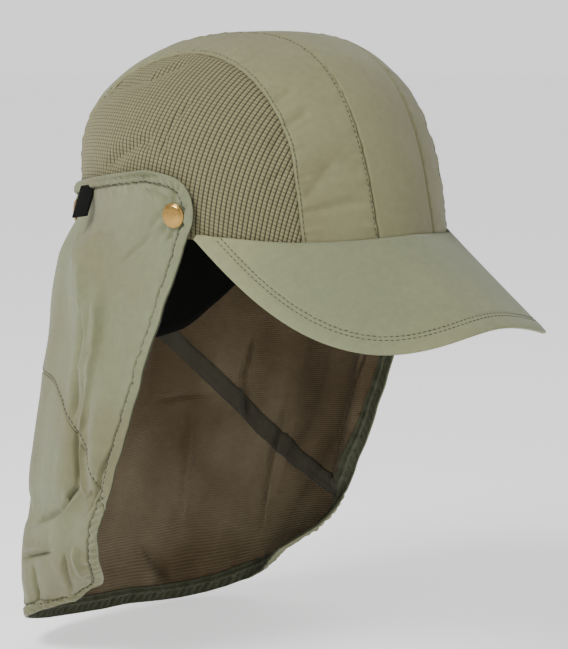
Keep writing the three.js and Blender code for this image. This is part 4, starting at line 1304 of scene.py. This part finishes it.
# Hem: fullness, step to the cloth, groove under the stitching, and the slanting ropes that twist it
HEM_FULLNESS, HEM_STEP, HEM_GROOVE = 0.75, 1.2, (-1.35, 0.7)
HEM_TWIST, TWIST_SLANT, TWIST_LENGTH, TWIST_START = 0.55, 0.9, 5.2, 2
HEM_PUCKERS, SEAM_PUCKERS, FLAP_ROUNDING = (0.9, 13.0, 1.5, 3.5), (0.22, 12.0, -2, 5), (-0.5, 1.4)
# Slanting seam: its groove, the stitching above it, and the gap that parts the two cloths
SEAM_GROOVE, STITCH_GROOVE, SEAM_STITCHES, SEAM_GAP = (-0.6, 0.7), (-0.3, 0.4), 1.5, 0.15
# Pull of a snap: a dent, and pleats round it
SNAP_DENT, SNAP_PLEATS, PLEAT_COUNT, PLEAT_TURN, PLEAT_REACH = (-0.7, 8.5), (0.75, 4.0), 7, 0.8, 9.5
# Height, wavelength and seed of the soft waves that hang down the flap, then how they slant, sway and grow
DRAPE = ((1.1, 46.0, 2.2), (0.12, 19.0, 0.7))
DRAPE_SLANT, DRAPE_SWAY, DRAPE_SWAYS, DRAPE_GROWTH, DRAPE_START = 0.25, 9, 7, 3, 0.1
# Places of the grids' columns round the flap and rows down it, finer along the front edges and the hem
FLAP_COLUMNS = table(
    "share place", (0, -1), (0.045, -0.958), (0.3, -0.65), (0.7, 0.65), (0.955, 0.958), (1, 1)
)
HEM_COLUMNS = table("share place", (0, -1), (0.05, -0.95), (0.95, 0.95), (1, 1))
HEM_ROWS = table("share place", (0, 0.035), (0.9, 0.95), (1, 1))
# Share of the rows and depth that are kept for the top and for the bottom of each cloth
FLAP_ROWS = {"flap_upper": ((0.16, 9), (0.12, 5)), "flap_lower": ((0.1, 4), (0.16, 9))}
# Inside of the flap: depths below the outer face, edges of the hem, and edges and groove of the tape
HEM_DEPTH, HEM_INNER_EDGE, HEM_FOLD = 0.72, (-0.25, 0.6), (-0.3, 1.0)
TAPE_DEPTH, TAPE_ROUNDING, TAPE_GROOVE, TAPE_GROOVE_PLACE = 0.75, (0.35, 1.2), (-0.25, 1.2), 2.2
TAPE_STITCHES, TAPE_END, TAPE_STITCH_END, SEAM_STITCH_END = 1.0, 0.965, 0.955, 0.995


def flap_rise(turn, down, points, grooves=True):
    """Height of the flap's fine detail and distance from its edge. Grooves are the seam's own."""
    hem = size_of("hem")
    rise = np.zeros(len(turn))
    at = np.stack([np.abs(turn) * FLAP_ROUND, down * FLAP_DOWN], -1)
    for side in (RIGHT, LEFT):
        here = (turn < 0) == (side == RIGHT)
        rise[here] += folds_on_flap(at[here], side, FINE_FOLDS, fine=True)
    distance, along = edge_distance(points, flap_face(*flap_boundary())[0])
    hem_band = smooth((hem + HEM_STEP / 2 - distance) / HEM_STEP)
    rise += HEM_FULLNESS * hem_band + ridge(HEM_GROOVE, distance - hem)
    twist = np.sin((along + TWIST_SLANT * distance) * 2 * math.pi / TWIST_LENGTH)
    rise += HEM_TWIST * twist * hem_band * smooth(distance / TWIST_START)
    rise += puckers(HEM_PUCKERS, along, distance - hem, 1.3) + rounding(FLAP_ROUNDING, distance)
    from_seam = (down - seam_down(turn)) * FLAP_DOWN / slant(turn)
    rise += puckers(SEAM_PUCKERS, turn * FLAP_ROUND, from_seam, 0.4)
    if grooves:
        rise += ridge(STITCH_GROOVE, from_seam + SEAM_STITCHES) + ridge(SEAM_GROOVE, from_seam)
    for around, snap_down in SNAPS.values():
        for side in (RIGHT, LEFT):
            away = np.stack([turn * side - around, down - snap_down], -1) * [FLAP_ROUND, FLAP_DOWN]
            reach = np.linalg.norm(away, axis=-1)
            pleats = np.sin(PLEAT_COUNT * np.arctan2(away[:, 1], away[:, 0]) + PLEAT_TURN)
            rise += ridge(SNAP_DENT, reach) + ridge(SNAP_PLEATS, reach - PLEAT_REACH) * pleats
    slope = turn * FLAP_ROUND + DRAPE_SLANT * down * FLAP_DOWN + DRAPE_SWAY * np.sin(DRAPE_SWAYS * down)
    drape = sum(height * ripple(slope, *wave) for height, *wave in DRAPE)
    rise += drape * smooth(DRAPE_GROWTH * (down - DRAPE_START))
    return rise, distance


def spread(share, places):
    """Places that shares of a grid's columns or rows have, by a table."""
    return np.interp(share, places["share"], places["place"])


def rows_down(v, start, end, top, bottom):
    """Millimetres down of a flap cloth's rows, a share of them kept for a depth at its top and bottom."""
    (top_share, top_depth), (bottom_share, bottom_depth) = top, bottom
    last = 1 - bottom_share
    high, low = start + top_depth, end - bottom_depth
    middle = mix(high, low, (v - top_share) / (last - top_share))
    rows = [mix(start, high, v / top_share), middle]
    return np.select([v < top_share, v < last], rows, mix(low, end, (v - last) / bottom_share))


def flap_piece(solid):
    """The flap's cloth above or below its slanting seam."""
    bm, u, v = grid(*FLAP_GRID)
    turn = spread(u, FLAP_COLUMNS)
    seam = seam_down(turn) * FLAP_DOWN
    if solid == "flap_upper":
        start, end = 0, seam - SEAM_GAP
    else:
        start, end = seam + SEAM_GAP, hem_down(turn) * FLAP_DOWN
    down = rows_down(v, start, end, *FLAP_ROWS[solid]) / FLAP_DOWN
    points, normals = flap_face(turn, down)
    rise, _ = flap_rise(turn, down, points)
    cloth = np.stack([turn * FLAP_ROUND, down * FLAP_DOWN], -1) * MM
    return make_piece(solid, "flap", bm, points, normals, rise, cloth)


def hem_piece():
    """Hem turned to the inside along the flap's front edges and bottom."""
    width = size_of("hem_width")
    bm, u, v = grid(*HEM_GRID)
    turn = spread(u, HEM_COLUMNS)
    down = spread(v, HEM_ROWS) * hem_down(turn)
    points, _ = flap_face(turn, down)
    turns, downs = flap_boundary()
    keep = (np.abs(turns) >= 1) | (downs > 0.5)
    distance, _ = edge_distance(points, flap_face(turns[keep], downs[keep])[0])
    turn, down = trim(bm, turn, down, width - distance)
    points, normals = flap_face(turn, down)
    rise, distance = flap_rise(turn, down, points, grooves=False)
    rise += ridge(HEM_INNER_EDGE, distance - width) + ridge(HEM_FOLD, distance) - HEM_DEPTH
    cloth = np.stack([turn * FLAP_ROUND, down * FLAP_DOWN], -1) * MM
    # The hem's material is the face cloth darkened with painted shade.
    return make_piece("flap_hem", "hem", bm, points, normals, rise, cloth)


def tape_piece():
    """Tape over the slanting seam inside the flap, with rounded edges."""
    half = size_of("tape_width") / 2
    bm, u, v = grid(*TAPE_GRID)
    turn = mix(-TAPE_END, TAPE_END, u)
    across = mix(-half, half, v)
    down = beside_seam(turn, across)
    points, normals = flap_face(turn, down)
    rise, _ = flap_rise(turn, down, points, grooves=False)
    rise += rounding(TAPE_ROUNDING, half - np.abs(across)) - TAPE_DEPTH
    rise += ridge(TAPE_GROOVE, np.abs(across) - TAPE_GROOVE_PLACE)
    cloth = np.stack([turn * FLAP_ROUND, across], -1) * MM
    # The tape's material is the face cloth darkened with painted shade.
    return make_piece(
        "flap_seam_tape", "tape", bm, points, normals, rise, cloth, name="flap_tape_cloth"
    )


def tab_piece():
    """Bare ribbon folded double, hanging from under the top hem."""
    bm, u, v = grid(*TAB_GRID)
    bend_length = np.pi * TAB_FOLD
    path = v * (2 * TAB_LENGTH + bend_length)
    bend = np.clip((path - TAB_LENGTH) / TAB_FOLD, 0, np.pi)
    drop = np.where(path < TAB_LENGTH, path, TAB_LENGTH + TAB_FOLD * np.sin(bend))
    drop = np.where(path > TAB_LENGTH + bend_length, 2 * TAB_LENGTH + bend_length - path, drop)
    height = TAB_FOLD * (1 + np.cos(bend))
    share = drop / TAB_LENGTH
    at, normal = flap_face([-TAB_AROUND], [TAB_DOWN])
    beside, _ = flap_face([-TAB_AROUND - 0.01, -TAB_AROUND], [TAB_DOWN, TAB_DOWN + 0.02])
    forwards, downwards = unit(beside - at)
    across = math.cos(TAB_TURN) * forwards - math.sin(TAB_TURN) * normal[0]
    face = unit(np.cross(across, downwards))
    face *= np.sign(face @ normal[0])
    aside = TAB_WIDTH * (u - 0.5) + mix(*TAB_SWING, share)
    lift = TAB_CLEAR + height + TAB_BELLY * np.sin(np.pi * share) * np.sin(np.pi * u)
    points = at + aside[:, None] * across + drop[:, None] * downwards + lift[:, None] * face
    normals = face * np.where(path > TAB_LENGTH, -1, 1)[:, None]
    cloth = np.stack([(u - 0.5) * TAB_WIDTH, path], -1) * MM
    return make_piece("ribbon_tab", "tab", bm, points, normals, 0 * u, cloth)


# Snaps


def snap_place(side, around, down):
    """Where a snap sits on the flap and which way it faces."""
    radius = size_of("snap_radius")
    bearings = np.arange(8) * 45 * DEGREE
    arounds = around + radius * np.cos(bearings) / FLAP_ROUND
    rim, _ = flap_face(side * arounds, down + radius * np.sin(bearings) / FLAP_DOWN)
    normal = unit(np.cross(rim[0] - rim[4], rim[2] - rim[6])) * side
    at = flap_face([side * around], [down])[0][0]
    return at + normal * max(0, ((rim - at) @ normal).max()), normal


# A snap's rolled rim as shares of its radius and heights over its seat
SNAP_RIM = ((0.9, -0.8), (0.985, -0.5), (1, -0.05), (0.975, 0.3), (0.93, 0.42), (0.885, 0.36))
SNAP_POST_END, SNAP_POST_TOP, SNAP_DOME_SHARE, SNAP_DOME_FOOT = -6.5, -0.9, 0.84, 1.25
SNAP_DOME_TURNS = np.linspace(0.25, 1.5, 8)


def snap_piece(side, which):
    """A domed cap with a rolled rim, on a post through the cloths."""
    radius, height = size_of("snap_radius"), size_of("snap_height")
    at, normal = snap_place(side, *SNAPS[which])
    dome_radius, dome_height = radius * SNAP_DOME_SHARE, height - SNAP_DOME_FOOT
    profile = [
        (0, SNAP_POST_END),
        (SNAP_POST_RADIUS, SNAP_POST_END),
        (SNAP_POST_RADIUS, SNAP_SEAT + SNAP_POST_TOP),
        *((radius * share, SNAP_SEAT + over) for share, over in SNAP_RIM),
        *((dome_radius * math.cos(t), SNAP_DOME_FOOT + dome_height * math.sin(t)) for t in SNAP_DOME_TURNS),
        (0, height),
    ]
    bm = bmesh.new()
    verts = [bm.verts.new((r * MM, 0, z * MM)) for r, z in profile]
    edges = [bm.edges.new(pair) for pair in zip(verts, verts[1:])]
    bmesh.ops.spin(
        bm, geom=verts + edges, axis=(0, 0, 1), cent=(0, 0, 0), angle=2 * math.pi,
        steps=bpy.context.scene.sun_cap_stage.segments, use_merge=True,
    )
    bmesh.ops.remove_doubles(bm, verts=bm.verts[:], dist=MERGE_DISTANCE)
    bmesh.ops.recalc_face_normals(bm, faces=bm.faces[:])
    turned = Vector((0, 0, 1)).rotation_difference(Vector(normal)).to_matrix().to_4x4()
    bmesh.ops.transform(bm, matrix=Matrix.Translation(Vector(at) * MM) @ turned, verts=bm.verts[:])
    solid = f"snap_{which}_{SIDE_NAME[side]}"
    return own(place_mesh(f"{solid}_cap", bm, [finish("Brass")]), [solid])


# Stitching


def sew(name, onto, lines, lift=0.0):
    """Stitches along lines, each given with where it is kept, laid on the nearest of some pieces."""
    sizes = bpy.context.scene.sun_cap_sizes
    size = Matrix.Diagonal((sizes.stitch_length, sizes.stitch_width, sizes.stitch_width, 1))
    bm = bmesh.new()
    for line, kept in lines:
        length = lengths_along(line)
        count = int(length[-1] * MM / sizes.stitch_pitch)
        at = (np.arange(count) + 0.5) / count * length[-1]
        places = np.stack([np.interp(at, length, line[:, k]) for k in range(3)], -1) * MM
        on = np.interp(at, length, kept * np.ones(len(line))) > 0.99
        ways = np.gradient(places, axis=0)
        for place, way in zip(places[on], ways[on]):
            hits = [SURFACES[piece].find_nearest(Vector(place)) for piece in onto]
            point, normal, _, _ = min(hits, key=lambda hit: hit[3])
            across = normal.cross(Vector(way)).normalized()
            turned = Matrix((across.cross(normal), across, normal)).transposed().to_4x4()
            laid = Matrix.Translation(point + normal * lift * MM) @ turned @ size
            bmesh.ops.create_icosphere(bm, subdivisions=1, radius=0.5, matrix=laid)
    return own(place_mesh(name, bm, [finish("Thread")]))


def crown_stitches(side):
    """Topstitching beside both seams of a side strip."""
    inset = size_of("topstitch")
    low, high = strip_edges(side)
    lines = []
    for edge, other in ((low, high), (high, low)):

        def aside_at(over):
            width = np.abs(high(over) - low(over)) * DEGREE * CROWN_HEIGHT
            return mix(edge(over), other(over), inset / width)

        over = np.linspace(*seam_span(aside_at), 400)
        lines.append((crown_along(over_direction(over, aside_at(over))), True))
    strip = f"crown_strip_{SIDE_NAME[side]}"
    return sew(f"{strip}_stitches", [f"{strip}_cloth"], lines)


def peak_stitches():
    """Two rows of topstitching round the peak's edge."""
    u = np.linspace(0.02, 0.98, 500)
    edge = peak_point(u, 0 * u + 1)
    normals = -facing(peak_point, u, 0 * u + 0.99)
    lines = [inset_line(edge, normals, inset) for inset in PEAK_STITCHES]
    return sew("peak_stitches", ["peak_cloth"], lines)


def hem_line(inset):
    """A line inside the flap's edge, all round."""
    edge, normals = flap_face(*flap_boundary())
    return inset_line(edge, normals, inset)


def flap_stitches():
    """Stitching of the flap's hems and slanting seam, on its outer face."""
    turn = np.linspace(-SEAM_STITCH_END, SEAM_STITCH_END, 500)
    beside, _ = flap_face(turn, beside_seam(turn, -SEAM_STITCHES))
    lines = [hem_line(size_of("hem")), (beside, True)]
    return sew("flap_stitches", ["flap_upper_cloth", "flap_lower_cloth"], lines, 0.25)


def hem_stitches():
    """Stitching of the hem as it shows inside the flap."""
    line, kept = hem_line(size_of("hem") - 0.8)
    kept &= flap_boundary()[1] > 0.04
    return sew("hem_stitches", ["flap_hem_cloth"], [(line, kept)], -0.75)


def tape_stitches():
    """A row of stitching along each edge of the tape."""
    inset = size_of("tape_width") / 2 - TAPE_STITCHES
    turn = np.linspace(-TAPE_STITCH_END, TAPE_STITCH_END, 500)
    lines = [(flap_face(turn, beside_seam(turn, across))[0], True) for across in (-inset, inset)]
    return sew("tape_stitches", ["flap_tape_cloth"], lines, -0.85)


def declare(piece, with_pieces=()):
    """Reads a piece's cloth coordinates into an array, and does nothing more with them."""
    data = piece.data.uv_layers["Cloth"].data
    place = np.empty(2 * len(data))
    data.foreach_get("uv", place)


# Operators


class SUNCAP_OT_crown(bpy.types.Operator):
    """Make the crown's woven strips and mesh sides"""

    bl_idname = "suncap.crown"
    bl_label = "Crown"

    def execute(self, context):
        declare(strip_piece(0))
        for side in (RIGHT, LEFT):
            declare(strip_piece(side), with_pieces=[crown_stitches(side)])
            declare(mesh_piece(side))
        return {"FINISHED"}


class SUNCAP_OT_sweatband(bpy.types.Operator):
    """Make the sweatband inside the crown's lower edge"""

    bl_idname = "suncap.sweatband"
    bl_label = "Sweatband"

    def execute(self, context):
        declare(sweatband_piece())
        return {"FINISHED"}


class SUNCAP_OT_peak(bpy.types.Operator):
    """Make the stiff peak"""

    bl_idname = "suncap.peak"
    bl_label = "Peak"

    def execute(self, context):
        peak_piece()
        peak_stitches()
        return {"FINISHED"}


class SUNCAP_OT_flap(bpy.types.Operator):
    """Make the neck flap's two cloths, its hem and the tape over its seam"""

    bl_idname = "suncap.flap"
    bl_label = "Neck flap"

    def execute(self, context):
        upper, lower = flap_piece("flap_upper"), flap_piece("flap_lower")
        hem, tape = [hem_piece(), hem_stitches()], [tape_piece(), tape_stitches()]
        flap_stitches()
        declare(upper, tape)
        declare(lower, hem)
        return {"FINISHED"}


class SUNCAP_OT_fittings(bpy.types.Operator):
    """Make the ribbon tab and the four snaps"""

    bl_idname = "suncap.fittings"
    bl_label = "Tab and snaps"

    def execute(self, context):
        tab_piece()
        for side in (RIGHT, LEFT):
            for which in SNAPS:
                snap_piece(side, which)
        return {"FINISHED"}


CAMERA_PLACE = (-0.8374, -0.7886, 0.0893)
CAMERA_BACK = Vector((-0.7240, -0.6794, 0.1198))
CAMERA_CLIP = (0.05, 100)
FLOOR_DROP, FLOOR_COLOUR = 0.001, (0.8, 0.8, 0.8, 1)
# Upward share of a view over which the sky goes from the light at the horizon to its own
SKY_BAND = (0.1, 0.35)
# Name, place and size of the lamps, whose power is in the stage's values, and what they look at
LAMPS = (("key", (-1.05, -0.02, 1.05), 0.55), ("fill", (0.6, -1.7, 0.5), 1.4))
LAMP_AIM = Vector((0, 0, -0.05))


def make_floor(stage):
    """Pale floor just under the cap."""
    bm = bmesh.new()
    bmesh.ops.create_circle(bm, cap_ends=True, segments=96, radius=stage.floor)
    bmesh.ops.translate(bm, vec=(0, 0, CAD_BOX[0][2] - FLOOR_DROP), verts=bm.verts[:])
    pale, _, shader = bare_material("Floor", 0.9, specular=0.1)
    shader.inputs["Base Color"].default_value = FLOOR_COLOUR
    shader.inputs["Emission Color"].default_value = WHITE
    shader.inputs["Emission Strength"].default_value = stage.glow
    place_mesh("floor", bm, [pale])


def make_sky(stage):
    """World that is brighter low down than above."""
    world = bpy.data.worlds.new("Soft sky")
    world.use_nodes = True
    tree = world.node_tree
    background = tree.nodes["Background"].inputs
    background["Color"].default_value = WHITE
    place = node(tree, "ShaderNodeTexCoord", (-800, 0)).outputs["Generated"]
    height = node(tree, "ShaderNodeSeparateXYZ", (-600, 0), {0: place}).outputs["Z"]
    strength = ramp(tree, (-300, 0), height, SKY_BAND, (stage.horizon, stage.sky))
    tree.links.new(strength, background["Strength"])
    bpy.context.scene.world = world


class SUNCAP_OT_stage(bpy.types.Operator):
    """Set the pale floor, the soft light and the camera"""

    bl_idname = "suncap.stage"
    bl_label = "Stage"

    def execute(self, context):
        stage = context.scene.sun_cap_stage
        make_floor(stage)
        make_sky(stage)
        for name, place, size in LAMPS:
            data = bpy.data.lights.new(name, "AREA")
            data.size = size
            data.energy = getattr(stage, name)
            place_object(name, data, place, Vector(place) - LAMP_AIM)
        data = bpy.data.cameras.new("camera")
        data.lens = stage.lens
        data.clip_start, data.clip_end = CAMERA_CLIP
        context.scene.camera = place_object("camera", data, CAMERA_PLACE, CAMERA_BACK)
        return {"FINISHED"}


class SUNCAP_PT_panel(bpy.types.Panel):
    """Lists the cap's pieces and their sizes and colours"""

    bl_idname = "SUNCAP_PT_panel"
    bl_label = "Sun Cap"
    bl_space_type = "VIEW_3D"
    bl_region_type = "UI"
    bl_category = "Sun Cap"

    def draw(self, context):
        for operator in OPERATORS:
            self.layout.operator(operator.bl_idname)
        for group in ("sun_cap_colours", "sun_cap_sizes", "sun_cap_stage"):
            values = getattr(context.scene, group)
            box = self.layout.box()
            for name in values.bl_rna.properties.keys():
                if name not in ("rna_type", "name"):
                    box.prop(values, name)


OPERATORS = (
    SUNCAP_OT_stage,
    SUNCAP_OT_crown,
    SUNCAP_OT_sweatband,
    SUNCAP_OT_peak,
    SUNCAP_OT_flap,
    SUNCAP_OT_fittings,
)
GROUPS = (CapColours, CapSizes, CapStage)


def register():
    for part in (*GROUPS, *OPERATORS, SUNCAP_PT_panel):
        bpy.utils.register_class(part)
    bpy.types.Scene.sun_cap_colours = PointerProperty(type=CapColours)
    bpy.types.Scene.sun_cap_sizes = PointerProperty(type=CapSizes)
    bpy.types.Scene.sun_cap_stage = PointerProperty(type=CapStage)


def unregister():
    for name in ("sun_cap_colours", "sun_cap_sizes", "sun_cap_stage"):
        delattr(bpy.types.Scene, name)
    for part in reversed((*GROUPS, *OPERATORS, SUNCAP_PT_panel)):
        bpy.utils.unregister_class(part)


def main():
    register()
    bpy.ops.suncap.stage()
    bpy.ops.suncap.crown()
    bpy.ops.suncap.sweatband()
    bpy.ops.suncap.peak()
    bpy.ops.suncap.flap()
    bpy.ops.suncap.fittings()
    bpy.context.view_layer.update()


if __name__ == "__main__":
    main()
